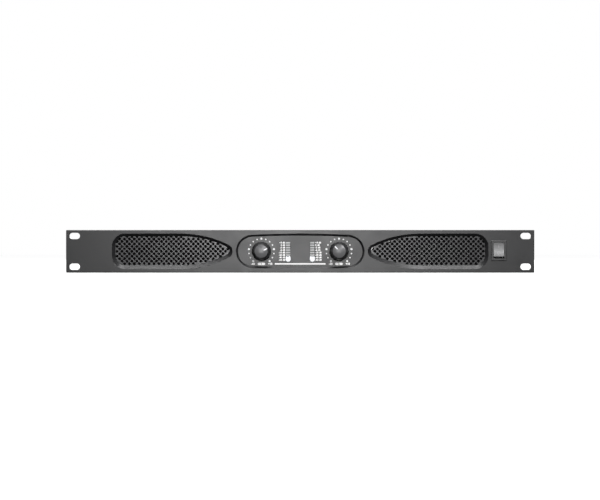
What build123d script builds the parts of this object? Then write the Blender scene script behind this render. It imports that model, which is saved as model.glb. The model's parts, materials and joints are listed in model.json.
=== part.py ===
"""Two-channel power amplifier for a 19-inch rack, one unit high, as separate pieces.

X runs to the right as seen from the front, Y from the front panel to the back, Z up.
The origin is on the floor, under the middle of the whole object. All sizes are millimetres.
"""

from build123d import *

import os
from math import cos, hypot, radians, sin

os.makedirs("parts", exist_ok=True)

# ---------------------------------------------------------------- driving dimensions
# Rack panel
rack_width = 482.6
panel_height = 44.0
panel_thickness = 4.0
panel_corner_radius = 1.0
panel_edge_break = 0.5
slot_pitch_x = 465.1
slot_pitch_z = 31.75
slot_length = 11.2
slot_width = 6.5

# Grille openings: blunt at the outer end, drawn out to a nose towards the middle
grille_outer_x = 194.0
grille_taper_x = 123.0
grille_nose_x = 69.7
opening_half_height = 18.3
grille_blunt_radius = 13.5
grille_nose_radius = 7.5
grille_bevel_width = 3.35
grille_lift = 0.65
mesh_thickness = 1.0
mesh_pitch = 5.08
mesh_hole_radius = 1.45
mesh_outer_x = 189.0
mesh_edge_inset = 0.3
seat_margin = 1.8
filter_depth = 6.0

# Control pod in the middle
pod_half_length = 66.2
pod_end_radius = 17.0
pod_bevel_width = 2.0
plate_thickness = 2.0
dial_spacing = 80.0

# Chassis
chassis_width = 436.0
chassis_depth = 330.0
tray_sheet = 1.2
cover_sheet = 1.0
cover_drop = 0.8
cover_lip = 14.0
flange_depth = 10.0
foot_height = 1.2
foot_radius = 7.0
foot_inset_x = 28.0
foot_inset_y = 34.0
foot_edge_break = 0.3
tray_bend_radius = 1.5

# Fits
fit_gap = 0.2
panel_gap = 0.1
thread_gap = 0.1
pivot_gap = 0.05

# Level knobs and their potentiometers
knob_radius = 9.9
knob_skirt = 2.0
knob_body_radius = 9.2
knob_face_radius = 7.3
knob_reach = 13.0
knob_dome = 1.2
knob_edge_break = 0.5
knob_bore_cap = 2.5
skirt_flare = 0.5
skirt_edge_break = 0.4
knob_float = 0.8
knob_cavity_radius = 7.2
knob_cavity_depth = 4.2
knob_flutes = 18
flute_radius = 0.9
flute_bite = 0.45
pointer_width = 1.1
pointer_depth = 0.5
pointer_inner = 2.9
knob_a_turn = 65.0
knob_b_turn = -40.0
shaft_radius = 3.0
shaft_flat = 1.5
shaft_end_gap = 0.5
pot_radius = 8.25
pot_length = 8.5
bushing_radius = 3.5
bushing_reach = 3.8
nut_across_flats = 10.0
nut_thickness = 2.2

# Level indicators
led_rows = 8
led_pitch = 2.54
led_width = 4.3
led_height = 1.6
led_spacing = 25.0
led_proud = 0.2
led_body = 6.5
lead_radius = 0.25

# Power switch
switch_x = 204.5
switch_rise = 1.0
bezel_width = 15.5
bezel_height = 21.0
bezel_reach = 1.8
bezel_corner = 0.8
bezel_edge_break = 0.6
switch_cut_width = 13.2
switch_cut_height = 19.2
switch_depth = 16.0
well_width = 11.2
well_height = 16.8
well_depth = 9.0
rocker_width = 10.6
rocker_half_height = 7.4
rocker_front = 5.6
rocker_dish = 0.9
rocker_tilt = 10.0
rocker_pivot_depth = 3.5
rocker_pin_radius = 1.2
rocker_pin_reach = 0.8
terminal_x = 3.2
terminal_pitch = 7.0
terminal_thickness = 0.8
terminal_height = 4.8
terminal_length = 8.0

# Rear connectors, centre positions along X
inlet_x = 180.0
breaker_x = 141.0
fan_x = (58.0, 104.0)
speaker_x = (-12.0, 20.0)
mode_switch_x = -42.0
input_x = (-140.0, -72.0)
link_x = (-171.0, -103.0)
ground_switch_x = -200.0

# Round connectors in a common rectangular flange
socket_flange_width = 26.0
socket_flange_height = 31.0
socket_flange = 2.0
socket_flange_corner = 3.0
socket_screw_x = 9.5
socket_screw_z = 12.0
socket_barrel_radius = 11.8
socket_depth = 22.0
socket_floor = 1.5
input_bore_radius = 9.8
insert_radius = 7.9
insert_recess = 1.0
pin_circle = 4.1
pin_radius = 1.2
pin_recess = 1.5
link_bore_radius = 8.3
link_bore_depth = 15.0
speaker_bore_radius = 10.6
speaker_core_radius = 6.2
contact_slot_width = 1.6
contact_slot_depth = 3.0
latch_width = 7.6
latch_height = 3.0
latch_rise = 12.6
latch_length = 6.0
latch_reach = 3.4
latch_travel = 1.5
latch_edge_radius = 0.6
latch_guide_depth = 10.0
latch_guide_width = 10.4
latch_guide_height = 4.6
latch_clearance = 1.0

# Mains inlet and circuit breaker
inlet_flange_width = 50.0
inlet_flange_height = 22.5
inlet_flange = 2.5
inlet_flange_corner = 3.0
inlet_screw_x = 20.0
inlet_body_width = 27.4
inlet_body_height = 19.6
inlet_body_depth = 22.0
inlet_well_width = 24.2
inlet_well_height = 16.4
inlet_well_depth = 16.5
inlet_well_chamfer = 4.0
blade_width = 2.0
blade_height = 4.0
blade_spacing = 7.0
blade_rise = 2.0
blade_recess = 3.0
blade_tail = 8.0
breaker_bezel_radius = 8.0
breaker_body_radius = 5.9
breaker_body_depth = 28.0
breaker_bezel = 2.0
button_radius = 3.05
button_reach = 3.4
button_length = 11.0
button_well_depth = 12.0
breaker_edge_break = 0.5

# Slide switches
slider_width = 4.4
slider_height = 4.2
slider_reach = 0.6
slider_length = 5.0
slider_slot_width = 10.6
slide_body_width = 20.0
slide_body_height = 9.0
slide_body_depth = 8.0
slide_body_floor = 2.0
slider_groove_pitch = 1.4
slider_groove_width = 0.5
slider_groove_depth = 0.4

# Fans
fan_size = 38.0
fan_depth = 20.0
fan_corner = 3.0
fan_throat_radius = 17.6
fan_screw_offset = 16.0
rotor_radius = 17.0
hub_radius = 8.0
hub_front_gap = 0.4
motor_thickness = 2.0
hub_depth = 15.0
axle_radius = 1.0
strut_width = 2.4
strut_bury = 0.3
motor_rim = 1.0
blade_count = 7
fan_blade_chord = 10.0
fan_blade_thickness = 0.9
fan_blade_pitch_root = 45.0
fan_blade_pitch_tip = 30.0
guard_wire_radius = 0.7
guard_rings = (5.5, 10.0, 14.5)
guard_eye_radius = 2.6

# Screws
screw_radius = 1.5
screw_head_radius = 2.75
screw_head_height = 1.8
screw_recess_width = 0.8
screw_recess_depth = 0.9
rear_screw_length = 9.0
board_screw_length = 3.0
flat_head_radius = 2.5
flat_head_height = flat_head_radius - screw_radius
flat_screw_length = 4.0
flat_recess_depth = 0.6
stud_radius = 1.5
stud_bury = 2.2
stud_length = 8.0
stud_inset_z = 2.6
stud_nut_thickness = 2.4
stud_nut_across_flats = 5.5
side_screw_count = 4
side_screw_start = 20.0

# Boards and what stands on them. Offsets are from the middle of a board or from a heatsink
board_thickness = 1.6
standoff_height = 6.0
standoff_radius = 3.0
board_hole_inset = 6.0
psu_board_x = (36.0, 206.0)
psu_board_y = (40.0, 280.0)
amp_board_x = (-210.0, 24.0)
amp_board_y = (70.0, 285.0)
heatsink_height = 28.0
heatsink_base = 3.0
fin_count = 6
fin_thickness = 1.5
fin_length = 20.0
amp_heatsink_x = (-150.0, -50.0)
amp_heatsink_length = 150.0
psu_heatsink_x = 70.0
psu_heatsink_length = 110.0
transistor_width = 15.6
transistor_height = 20.8
transistor_thickness = 4.9
transistor_leg = 4.0
transistors_per_sink = 4
transistor_leg_pitch = 5.4
transistor_leg_thickness = 0.8
transistor_leg_width = 1.2
capacitor_radius = 14.5
capacitor_height = 29.0
capacitor_rim = 1.0
core_width = 44.0
core_height = 28.0
core_depth = 16.0
core_window = 10.0
core_leg = 12.0
core_window_height = 18.0
winding_overhang = 7.0
inductor_ring_radius = 11.0
inductor_wire_radius = 5.0
film_width = 26.0
film_depth = 10.0
film_height = 17.0
film_pitch = 22.0
film_corner = 1.5
lead_wire_radius = 1.4
transformer_offset_x = 12.0
transformer_offset_y = 40.0
winding_corner = 4.0
capacitor_offset_x = 24.0
capacitor_offset_y = -62.0
capacitor_gap = 3.0
choke_offset_x = 42.0
choke_offset_y = 92.0
inductor_offset_x = 30.0
inductor_offset_y = 78.0
film_offset_x = 32.0
ribbon_width = 26.0
ribbon_thickness = 1.0

# ---------------------------------------------------------------- derived positions
panel_mid_z = panel_height / 2
tray_bottom_z = foot_height
tray_floor_z = tray_bottom_z + tray_sheet
cover_top_z = panel_height - cover_drop
cover_under_z = cover_top_z - cover_sheet
rear_reach = max(
    inlet_flange + screw_head_height,
    socket_flange + screw_head_height,
    latch_reach,
    button_reach,
)
y_front = -(panel_thickness + chassis_depth + rear_reach - knob_reach) / 2
y_back = y_front + panel_thickness
y_rear = y_back + chassis_depth
rear_inner_y = y_rear - tray_sheet
grille_bevel_depth = panel_thickness - mesh_thickness
pod_bevel_depth = panel_thickness - plate_thickness
plate_front_y = y_front + pod_bevel_depth
control_board_y = y_back + pot_length
knob_x = (-dial_spacing / 2, dial_spacing / 2)
knob_turn = (knob_a_turn, knob_b_turn)
led_x = (-led_spacing / 2, led_spacing / 2)
switch_z = panel_mid_z + switch_rise
board_top_z = tray_floor_z + standoff_height + board_thickness
half_inside = chassis_width / 2 - tray_sheet
side_screw_z = cover_top_z - cover_lip / 2 - 1.0
stud_spots = [
    (side * x, panel_mid_z + level)
    for side in (-1, 1)
    for x in (grille_nose_x + 2.5, switch_x + 2.0)
    for level in (stud_inset_z - opening_half_height, opening_half_height - stud_inset_z)
]


# ---------------------------------------------------------------- helpers
def facing(y):
    """A plane at depth y that faces the front: its axes are X and Z, and it extrudes to the front."""
    return Plane(origin=(0, y, 0), x_dir=(1, 0, 0), z_dir=(0, -1, 0))


def save(piece, name):
    """Labels a finished piece and writes its STEP file."""
    piece.part.label = name
    export_step(piece.part, f"parts/{name}.step")


def taper_radius(run, half_height, end_radius):
    """Radius of the arc that leaves a crown level and meets an end arc, centred a run away, smoothly."""
    return (run**2 + half_height**2 - end_radius**2) / (2 * (half_height - end_radius))


def end_tangent(taper_x, end_centre_x, half_height, end_radius, inset):
    """Where the taper arc, moved inward by inset, meets the end arc, as x and height over the middle."""
    radius = taper_radius(abs(taper_x - end_centre_x), half_height, end_radius)
    run_x = end_centre_x - taper_x
    run_z = radius - half_height
    reach = (radius - inset) / hypot(run_x, run_z)
    return taper_x + run_x * reach, run_z * reach - run_z


def grille_outline(side, inset=0.0, rise=0.0):
    """Face of a grille opening on that side, 1 right or -1 left, moved inward by inset and up by rise."""
    height = opening_half_height - inset
    blunt_x = grille_outer_x - inset
    corner_x = grille_outer_x - grille_blunt_radius
    corner_z = opening_half_height - grille_blunt_radius
    centre_x = grille_nose_x + grille_nose_radius
    meet_x, meet_z = end_tangent(
        grille_taper_x, centre_x, opening_half_height, grille_nose_radius, inset
    )

    def at(x, z):
        return (side * x, panel_mid_z + rise + z)

    with BuildSketch() as outline:
        with BuildLine():
            Line(at(grille_taper_x, height), at(corner_x, height))
            TangentArc(at(corner_x, height), at(blunt_x, corner_z), tangent=(side, 0))
            Line(at(blunt_x, corner_z), at(blunt_x, -corner_z))
            TangentArc(at(blunt_x, -corner_z), at(corner_x, -height), tangent=(0, -1))
            Line(at(corner_x, -height), at(grille_taper_x, -height))
            TangentArc(at(grille_taper_x, -height), at(meet_x, -meet_z), tangent=(-side, 0))
            ThreePointArc(at(meet_x, -meet_z), at(grille_nose_x + inset, 0), at(meet_x, meet_z))
            TangentArc(at(grille_taper_x, height), at(meet_x, meet_z), tangent=(-side, 0))
        make_face()
    return outline.sketch


def pod_outline(inset=0.0):
    """Face of the control pod's opening, moved inward by inset: long crowned edges between round ends."""
    height = opening_half_height - inset
    centre_x = pod_half_length - pod_end_radius
    meet_x, meet_z = end_tangent(0, centre_x, opening_half_height, pod_end_radius, inset)
    end_x = pod_half_length - inset

    def at(x, z):
        return (x, panel_mid_z + z)

    with BuildSketch() as outline:
        with BuildLine():
            ThreePointArc(at(-meet_x, meet_z), at(0, height), at(meet_x, meet_z))
            ThreePointArc(at(meet_x, meet_z), at(end_x, 0), at(meet_x, -meet_z))
            ThreePointArc(at(meet_x, -meet_z), at(0, -height), at(-meet_x, -meet_z))
            ThreePointArc(at(-meet_x, -meet_z), at(-end_x, 0), at(-meet_x, meet_z))
        make_face()
    return outline.sketch


def pan_screws(spots, length):
    """A group of pan-head screws. Each spot is a plane on the surface under the head, facing outward."""
    with BuildPart() as group:
        with Locations(*spots):
            Cone(
                screw_head_radius,
                screw_head_radius * 0.78,
                screw_head_height,
                align=(Align.CENTER, Align.CENTER, Align.MIN),
            )
            Cylinder(screw_radius, length, align=(Align.CENTER, Align.CENTER, Align.MAX))
        recess_spots = [spot.offset(screw_head_height) for spot in spots]
        with Locations(*recess_spots):
            for across, along in ((3.0, screw_recess_width), (screw_recess_width, 3.0)):
                Box(across, along, 2 * screw_recess_depth, mode=Mode.SUBTRACT)
    return group


def flat_screws(spots):
    """A group of flat-head screws, flush with the surface. Each spot is a plane on it, facing outward."""
    with BuildPart() as group:
        with Locations(*spots):
            Cone(
                screw_radius,
                flat_head_radius,
                flat_head_height,
                align=(Align.CENTER, Align.CENTER, Align.MAX),
            )
            Cylinder(screw_radius, flat_screw_length, align=(Align.CENTER, Align.CENTER, Align.MAX))
            for across, along in ((3.0, screw_recess_width), (screw_recess_width, 3.0)):
                Box(across, along, 2 * flat_recess_depth, mode=Mode.SUBTRACT)
    return group


def spot_on(point, outward, across=(1, 0, 0)):
    """A plane at a point on a surface, facing outward."""
    return Plane(origin=point, x_dir=across, z_dir=outward)


# ---------------------------------------------------------------- front panel and what fills its openings
def make_front_panel():
    """The rack panel: bevelled openings, a seat behind each one, rack slots and blind stud holes."""
    with BuildPart() as front_panel:
        with BuildSketch(facing(y_back)):
            with Locations((0, panel_mid_z)):
                RectangleRounded(rack_width, panel_height, panel_corner_radius)
        extrude(amount=panel_thickness)
        chamfer(front_panel.faces().sort_by(Axis.Y)[0].edges(), panel_edge_break)
        for side in (-1, 1):
            with BuildSketch(facing(y_front)):
                add(grille_outline(side))
            with BuildSketch(facing(y_front + grille_bevel_depth)):
                add(grille_outline(side, grille_bevel_width, grille_lift))
            loft(ruled=True, mode=Mode.SUBTRACT)
            with BuildSketch(facing(y_back)):
                add(grille_outline(side, grille_bevel_width - seat_margin, grille_lift))
            extrude(amount=mesh_thickness, mode=Mode.SUBTRACT)
        with BuildSketch(facing(y_front)):
            add(pod_outline())
        with BuildSketch(facing(plate_front_y)):
            add(pod_outline(pod_bevel_width))
        loft(ruled=True, mode=Mode.SUBTRACT)
        with BuildSketch(facing(y_back)):
            add(pod_outline(pod_bevel_width - seat_margin))
        extrude(amount=plate_thickness, mode=Mode.SUBTRACT)
        with BuildSketch(facing(y_back)):
            with Locations((switch_x, switch_z)):
                Rectangle(switch_cut_width, switch_cut_height)
            with Locations((0, panel_mid_z)), GridLocations(slot_pitch_x, slot_pitch_z, 2, 2):
                SlotOverall(slot_length, slot_width)
        extrude(amount=panel_thickness, mode=Mode.SUBTRACT)
        with BuildSketch(facing(y_back)):
            with Locations(*stud_spots):
                Circle(stud_radius)
        extrude(amount=stud_bury, mode=Mode.SUBTRACT)
    save(front_panel, "front_panel")


def make_grille(side, name):
    """A perforated sheet behind a grille opening. Its diagonal grid of holes runs to the opening's edge."""
    room = grille_outline(side, grille_bevel_width + mesh_edge_inset, grille_lift).faces()[0]
    half_pitch = mesh_pitch / 2
    rows = int(opening_half_height / half_pitch)
    columns = int((mesh_outer_x - grille_nose_x) / half_pitch)
    holes = []
    for row in range(-rows, rows + 1):
        for column in range(row % 2, columns, 2):
            spot = Vector(side * (mesh_outer_x - column * half_pitch), panel_mid_z + row * half_pitch)
            if room.is_inside(spot, 0.001):
                holes.append((spot.X, spot.Y))
    with BuildPart() as grille:
        with BuildSketch(facing(y_back)):
            add(grille_outline(side, grille_bevel_width - seat_margin + panel_gap, grille_lift))
            with Locations(*holes):
                Circle(mesh_hole_radius, mode=Mode.SUBTRACT)
        extrude(amount=mesh_thickness)
    save(grille, name)


def make_air_filters():
    """Two foam pads behind the grilles, in the openings of the chassis front wall."""
    with BuildPart() as air_filters:
        with BuildSketch(facing(y_back)):
            for side in (-1, 1):
                add(grille_outline(side, grille_bevel_width + fit_gap, grille_lift))
        extrude(amount=-filter_depth)
    save(air_filters, "air_filters")


def make_control_plate():
    """The plate at the bottom of the pod, with holes for both potentiometers and both indicator columns."""
    with BuildPart() as control_plate:
        with BuildSketch(facing(y_back)):
            add(pod_outline(pod_bevel_width - seat_margin + panel_gap))
            with Locations(*[(x, panel_mid_z) for x in knob_x]):
                Circle(bushing_radius + panel_gap, mode=Mode.SUBTRACT)
            with Locations(*[(x, panel_mid_z) for x in led_x]), GridLocations(1, led_pitch, 1, led_rows):
                Rectangle(led_width + fit_gap, led_height + fit_gap, mode=Mode.SUBTRACT)
        extrude(amount=plate_thickness)
    save(control_plate, "control_plate")


def make_indicator_leds():
    """Sixteen bar-shaped indicators that stand on the control board and reach through the plate."""
    lens_y = plate_front_y - led_proud
    with BuildPart() as indicator_leds:
        for x in led_x:
            with BuildSketch(facing(lens_y)):
                with Locations((x, panel_mid_z)), GridLocations(1, led_pitch, 1, led_rows):
                    Rectangle(led_width, led_height)
            extrude(amount=-led_body)
            with BuildSketch(facing(lens_y + led_body)):
                for lead_x in (x - led_width / 4, x + led_width / 4):
                    with Locations((lead_x, panel_mid_z)), GridLocations(1, led_pitch, 1, led_rows):
                        Circle(lead_radius)
            extrude(amount=-(control_board_y - lens_y - led_body))
    save(indicator_leds, "indicator_leds")


def make_potentiometers():
    """Two potentiometers behind the plate: a round body, and a bushing that guides the shaft through it."""
    with BuildPart() as potentiometers:
        with BuildSketch(facing(y_back)):
            with Locations(*[(x, panel_mid_z) for x in knob_x]):
                Circle(pot_radius)
        extrude(amount=-pot_length)
        with BuildSketch(facing(y_back)):
            with Locations(*[(x, panel_mid_z) for x in knob_x]):
                Circle(bushing_radius)
        extrude(amount=plate_thickness + bushing_reach)
        with BuildSketch(facing(plate_front_y - bushing_reach)):
            with Locations(*[(x, panel_mid_z) for x in knob_x]):
                Circle(shaft_radius + pivot_gap)
        extrude(amount=-(bushing_reach + plate_thickness + pot_length / 2), mode=Mode.SUBTRACT)
    save(potentiometers, "potentiometers")


def make_pot_nuts():
    """The two hexagonal nuts that clamp the potentiometers to the plate."""
    with BuildPart() as pot_nuts:
        with BuildSketch(facing(plate_front_y)):
            with Locations(*[(x, panel_mid_z) for x in knob_x]):
                RegularPolygon(nut_across_flats / 2, 6, major_radius=False)
                Circle(bushing_radius + pivot_gap, mode=Mode.SUBTRACT)
        extrude(amount=nut_thickness)
    save(pot_nuts, "pot_nuts")


def make_control_board():
    """The small board that carries the potentiometers and indicators."""
    with BuildPart() as control_board:
        with BuildSketch(facing(control_board_y)):
            with Locations((0, panel_mid_z)):
                Rectangle(dial_spacing + 4 * bushing_radius + 22, panel_height - 12)
        extrude(amount=-board_thickness)
    save(control_board, "control_board")


# ---------------------------------------------------------------- knobs
def make_knob(x, turn, suffix):
    """A fluted, domed level knob at its resting turn, its white pointer and the shaft that it turns."""
    back = pod_bevel_depth - knob_float
    axis = Axis((x, 0, panel_mid_z), (0, 1, 0))
    side_plane = Plane(origin=(x, y_front, panel_mid_z), x_dir=(1, 0, 0), z_dir=(0, 0, 1))
    face_plane = Plane(
        origin=(x, y_front - knob_reach, panel_mid_z),
        x_dir=(cos(radians(turn)), 0, -sin(radians(turn))),
        z_dir=(0, -1, 0),
    )
    rim_radius = knob_face_radius - knob_edge_break
    rim = -knob_reach + knob_dome
    groove = -knob_reach + pointer_depth
    with BuildPart() as pointer:
        with BuildSketch(side_plane):
            with BuildLine():
                TangentArc((0, -knob_reach), (rim_radius, rim), tangent=(1, 0))
                Line((rim_radius, rim), (rim_radius, rim + pointer_depth))
                TangentArc((0, groove), (rim_radius, rim + pointer_depth), tangent=(1, 0))
                Line((0, groove), (0, -knob_reach))
            make_face()
        revolve(axis=axis)
        with BuildSketch(face_plane):
            with Locations((0, (pointer_inner + rim_radius) / 2)):
                Rectangle(pointer_width, rim_radius - pointer_inner)
        extrude(amount=-(knob_dome + pointer_depth), mode=Mode.INTERSECT)
    save(pointer, f"knob_pointer_{suffix}")

    flute_circle = knob_body_radius + flute_radius - flute_bite
    with BuildPart() as knob:
        with BuildSketch(side_plane):
            with BuildLine():
                TangentArc((0, -knob_reach), (rim_radius, rim), tangent=(1, 0))
                Polyline(
                    (rim_radius, rim),
                    (knob_face_radius, rim + knob_edge_break),
                    (knob_body_radius, back - knob_skirt - skirt_flare),
                    (knob_radius - skirt_edge_break, back - knob_skirt),
                    (knob_radius, back - knob_skirt + skirt_edge_break),
                    (knob_radius, back),
                    (knob_cavity_radius, back),
                    (knob_cavity_radius, back - knob_cavity_depth),
                    (0, back - knob_cavity_depth),
                    (0, -knob_reach),
                )
            make_face()
        revolve(axis=axis)
        with BuildSketch(face_plane):
            with PolarLocations(flute_circle, knob_flutes, start_angle=90 + 180 / knob_flutes):
                Circle(flute_radius)
        extrude(amount=-(knob_reach + back - knob_skirt - skirt_flare), mode=Mode.SUBTRACT)
        with BuildSketch(face_plane.offset(-knob_reach - back)):
            Circle(shaft_radius)
            with Locations((0, -shaft_radius)):
                Rectangle(2 * shaft_radius, 2 * shaft_flat, mode=Mode.SUBTRACT)
        extrude(amount=knob_reach + back - knob_bore_cap, mode=Mode.SUBTRACT)
        add(pointer.part, mode=Mode.SUBTRACT)
    save(knob, f"knob_{suffix}")

    shaft_front = -knob_reach + knob_bore_cap + shaft_end_gap
    shaft_end = panel_thickness + pot_length / 2 - shaft_end_gap
    flat_end = back - knob_cavity_depth
    with BuildPart() as shaft:
        with BuildSketch(facing(y_front + shaft_front)):
            with Locations((x, panel_mid_z)):
                Circle(shaft_radius)
        extrude(amount=-(shaft_end - shaft_front))
        with BuildSketch(face_plane.offset(-knob_reach - shaft_front)):
            with Locations((0, -shaft_radius)):
                Rectangle(2 * shaft_radius, 2 * shaft_flat)
        extrude(amount=-(flat_end - shaft_front), mode=Mode.SUBTRACT)
    save(shaft, f"knob_shaft_{suffix}")


# ---------------------------------------------------------------- power switch
def make_power_switch():
    """The rocker switch: a framed housing through the panel, and a rocker with its top pressed in."""
    with BuildPart() as switch_housing:
        with BuildSketch(facing(y_front)):
            with Locations((switch_x, switch_z)):
                RectangleRounded(bezel_width, bezel_height, bezel_corner)
        extrude(amount=bezel_reach)
        chamfer(switch_housing.faces().sort_by(Axis.Y)[0].edges(), bezel_edge_break)
        with BuildSketch(facing(y_front)):
            with Locations((switch_x, switch_z)):
                Rectangle(switch_cut_width - fit_gap, switch_cut_height - fit_gap)
        extrude(amount=-switch_depth)
        with BuildSketch(facing(y_front - bezel_reach)):
            with Locations((switch_x, switch_z)):
                Rectangle(well_width, well_height)
        extrude(amount=-(bezel_reach + well_depth), mode=Mode.SUBTRACT)
        pivot_point = (switch_x, y_front + rocker_pivot_depth, switch_z)
        pivot = Plane(origin=pivot_point, x_dir=(0, 1, 0), z_dir=(1, 0, 0))
        with BuildSketch(pivot):
            Circle(rocker_pin_radius + pivot_gap)
        extrude(amount=rocker_width / 2 + rocker_pin_reach + fit_gap, both=True, mode=Mode.SUBTRACT)
    save(switch_housing, "switch_housing")

    with BuildPart() as switch_terminals:
        with BuildSketch(facing(y_front + switch_depth)):
            with Locations((switch_x, switch_z)), GridLocations(2 * terminal_x, terminal_pitch, 2, 2):
                Rectangle(terminal_thickness, terminal_height)
        extrude(amount=-terminal_length)
    save(switch_terminals, "switch_terminals")

    tilt = radians(rocker_tilt)
    profile = Plane(
        origin=(switch_x, y_front + rocker_pivot_depth, switch_z),
        x_dir=(0, -cos(tilt), sin(tilt)),
        z_dir=(1, 0, 0),
    )
    outer = rocker_front
    half = rocker_half_height
    with BuildPart() as power_rocker:
        with BuildSketch(profile):
            with BuildLine():
                ThreePointArc((outer, half), (outer - rocker_dish, 0), (outer, -half))
                Polyline(
                    (outer, -half),
                    (0, -half),
                    (-outer / 2, -half / 2),
                    (-outer / 2, half / 2),
                    (0, half),
                    (outer, half),
                )
            make_face()
        extrude(amount=rocker_width / 2, both=True)
        with BuildSketch(profile):
            Circle(rocker_pin_radius)
        extrude(amount=rocker_width / 2 + rocker_pin_reach, both=True)
    save(power_rocker, "power_rocker")


# ---------------------------------------------------------------- case
def cover_screw_spots():
    """Screws down through the cover's top into the front and rear flanges, then in through its side lips."""
    top = [
        spot_on((x, y, cover_top_z), (0, 0, 1))
        for y in (y_back + flange_depth / 2, y_rear - flange_depth / 2)
        for x in (-chassis_width / 3, 0, chassis_width / 3)
    ]
    outside = chassis_width / 2 + panel_gap + cover_sheet
    side_pitch = (chassis_depth - flange_depth / 2 - side_screw_start) / (side_screw_count - 1)
    first_y = y_back + side_screw_start
    sides = [
        spot_on((side * outside, first_y + number * side_pitch, side_screw_z), (side, 0, 0), (0, 1, 0))
        for side in (-1, 1)
        for number in range(side_screw_count)
    ]
    return top + sides


def standoff_spots():
    """Points on the tray floor where a standoff holds a corner of a board."""
    spots = []
    for (x_low, x_high), (y_low, y_high) in ((psu_board_x, psu_board_y), (amp_board_x, amp_board_y)):
        for x in (x_low + board_hole_inset, x_high - board_hole_inset):
            for y in (y_low + board_hole_inset, y_high - board_hole_inset):
                spots.append((x, y_back + y))
    return spots


def floor_screw_spots():
    """Screws up through the tray's floor into the standoffs."""
    return [spot_on((x, y, tray_bottom_z), (0, 0, -1)) for x, y in standoff_spots()]


def make_chassis_tray():
    """The folded steel tray: floor, side walls and the front wall with its openings and top flange."""
    with BuildPart() as chassis_tray:
        with BuildSketch(Plane.XY.offset(tray_bottom_z)):
            with Locations((0, y_back + chassis_depth / 2)):
                Rectangle(chassis_width, chassis_depth)
        extrude(amount=cover_under_z - tray_bottom_z)
        fillet(
            chassis_tray.edges().filter_by(Axis.Y).group_by(Axis.Z)[0]
            + chassis_tray.edges().filter_by(Axis.X).group_by(Axis.Z)[0].sort_by(Axis.Y)[:1],
            tray_bend_radius,
        )
        rim = chassis_tray.faces().sort_by(Axis.Z)[-1]
        rear = chassis_tray.faces().filter_by(Plane.XZ).sort_by(Axis.Y)[-1]
        offset(amount=-tray_sheet, openings=[rim, rear])
        with BuildSketch(Plane.XY.offset(cover_under_z)):
            with Locations((0, y_back + flange_depth / 2)):
                Rectangle(2 * half_inside, flange_depth)
        extrude(amount=-tray_sheet)
        with BuildSketch(facing(y_back)):
            for side in (-1, 1):
                add(grille_outline(side, grille_bevel_width, grille_lift))
            add(pod_outline(pod_bevel_width + 1.0))
            with Locations((switch_x, switch_z)):
                Rectangle(switch_cut_width, switch_cut_height)
            with Locations(*stud_spots):
                Circle(stud_radius + thread_gap)
        extrude(amount=-tray_sheet, mode=Mode.SUBTRACT)
        with Locations(*floor_screw_spots()):
            CounterSinkHole(
                screw_radius + thread_gap,
                flat_head_radius + thread_gap,
                depth=2 * tray_sheet,
                counter_sink_angle=90,
            )
        with Locations(*cover_screw_spots()):
            Cylinder(screw_radius + thread_gap, 2 * flat_screw_length, mode=Mode.SUBTRACT)
    save(chassis_tray, "chassis_tray")


def make_top_cover():
    """The steel cover: a flat top with a lip folded down over each side wall."""
    half_width = chassis_width / 2 + panel_gap + cover_sheet
    lip_z = cover_top_z - cover_lip
    with BuildPart() as top_cover:
        with BuildSketch(Plane.XY.offset(lip_z)):
            with Locations((0, y_back + panel_gap + (chassis_depth - panel_gap) / 2)):
                Rectangle(2 * half_width, chassis_depth - panel_gap)
        extrude(amount=cover_lip)
        fillet(top_cover.edges().filter_by(Axis.Y).group_by(Axis.Z)[-1], cover_sheet + panel_gap)
        under = top_cover.faces().sort_by(Axis.Z)[0]
        ends = top_cover.faces().filter_by(Plane.XZ)
        offset(amount=-cover_sheet, openings=[under, *ends])
        with Locations(*cover_screw_spots()):
            CounterSinkHole(
                screw_radius + thread_gap,
                flat_head_radius + thread_gap,
                depth=2 * cover_sheet,
                counter_sink_angle=90,
            )
    save(top_cover, "top_cover")


def rear_screw_spots():
    """Screws through the rear panel, as planes on the faces that their heads bear on."""
    spots = []
    for x in (*input_x, *link_x, *speaker_x):
        for corner in (-1, 1):
            screw_x = x + corner * socket_screw_x
            screw_z = panel_mid_z - corner * socket_screw_z
            spots.append(spot_on((screw_x, y_rear + socket_flange, screw_z), (0, 1, 0)))
    for side in (-1, 1):
        point = (inlet_x + side * inlet_screw_x, y_rear + inlet_flange, panel_mid_z)
        spots.append(spot_on(point, (0, 1, 0)))
    for x in fan_x:
        for side in (-1, 1):
            for level in (-1, 1):
                point = (
                    x + side * fan_screw_offset,
                    y_rear + 2 * guard_wire_radius,
                    panel_mid_z + level * fan_screw_offset,
                )
                spots.append(spot_on(point, (0, 1, 0)))
    return spots


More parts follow.
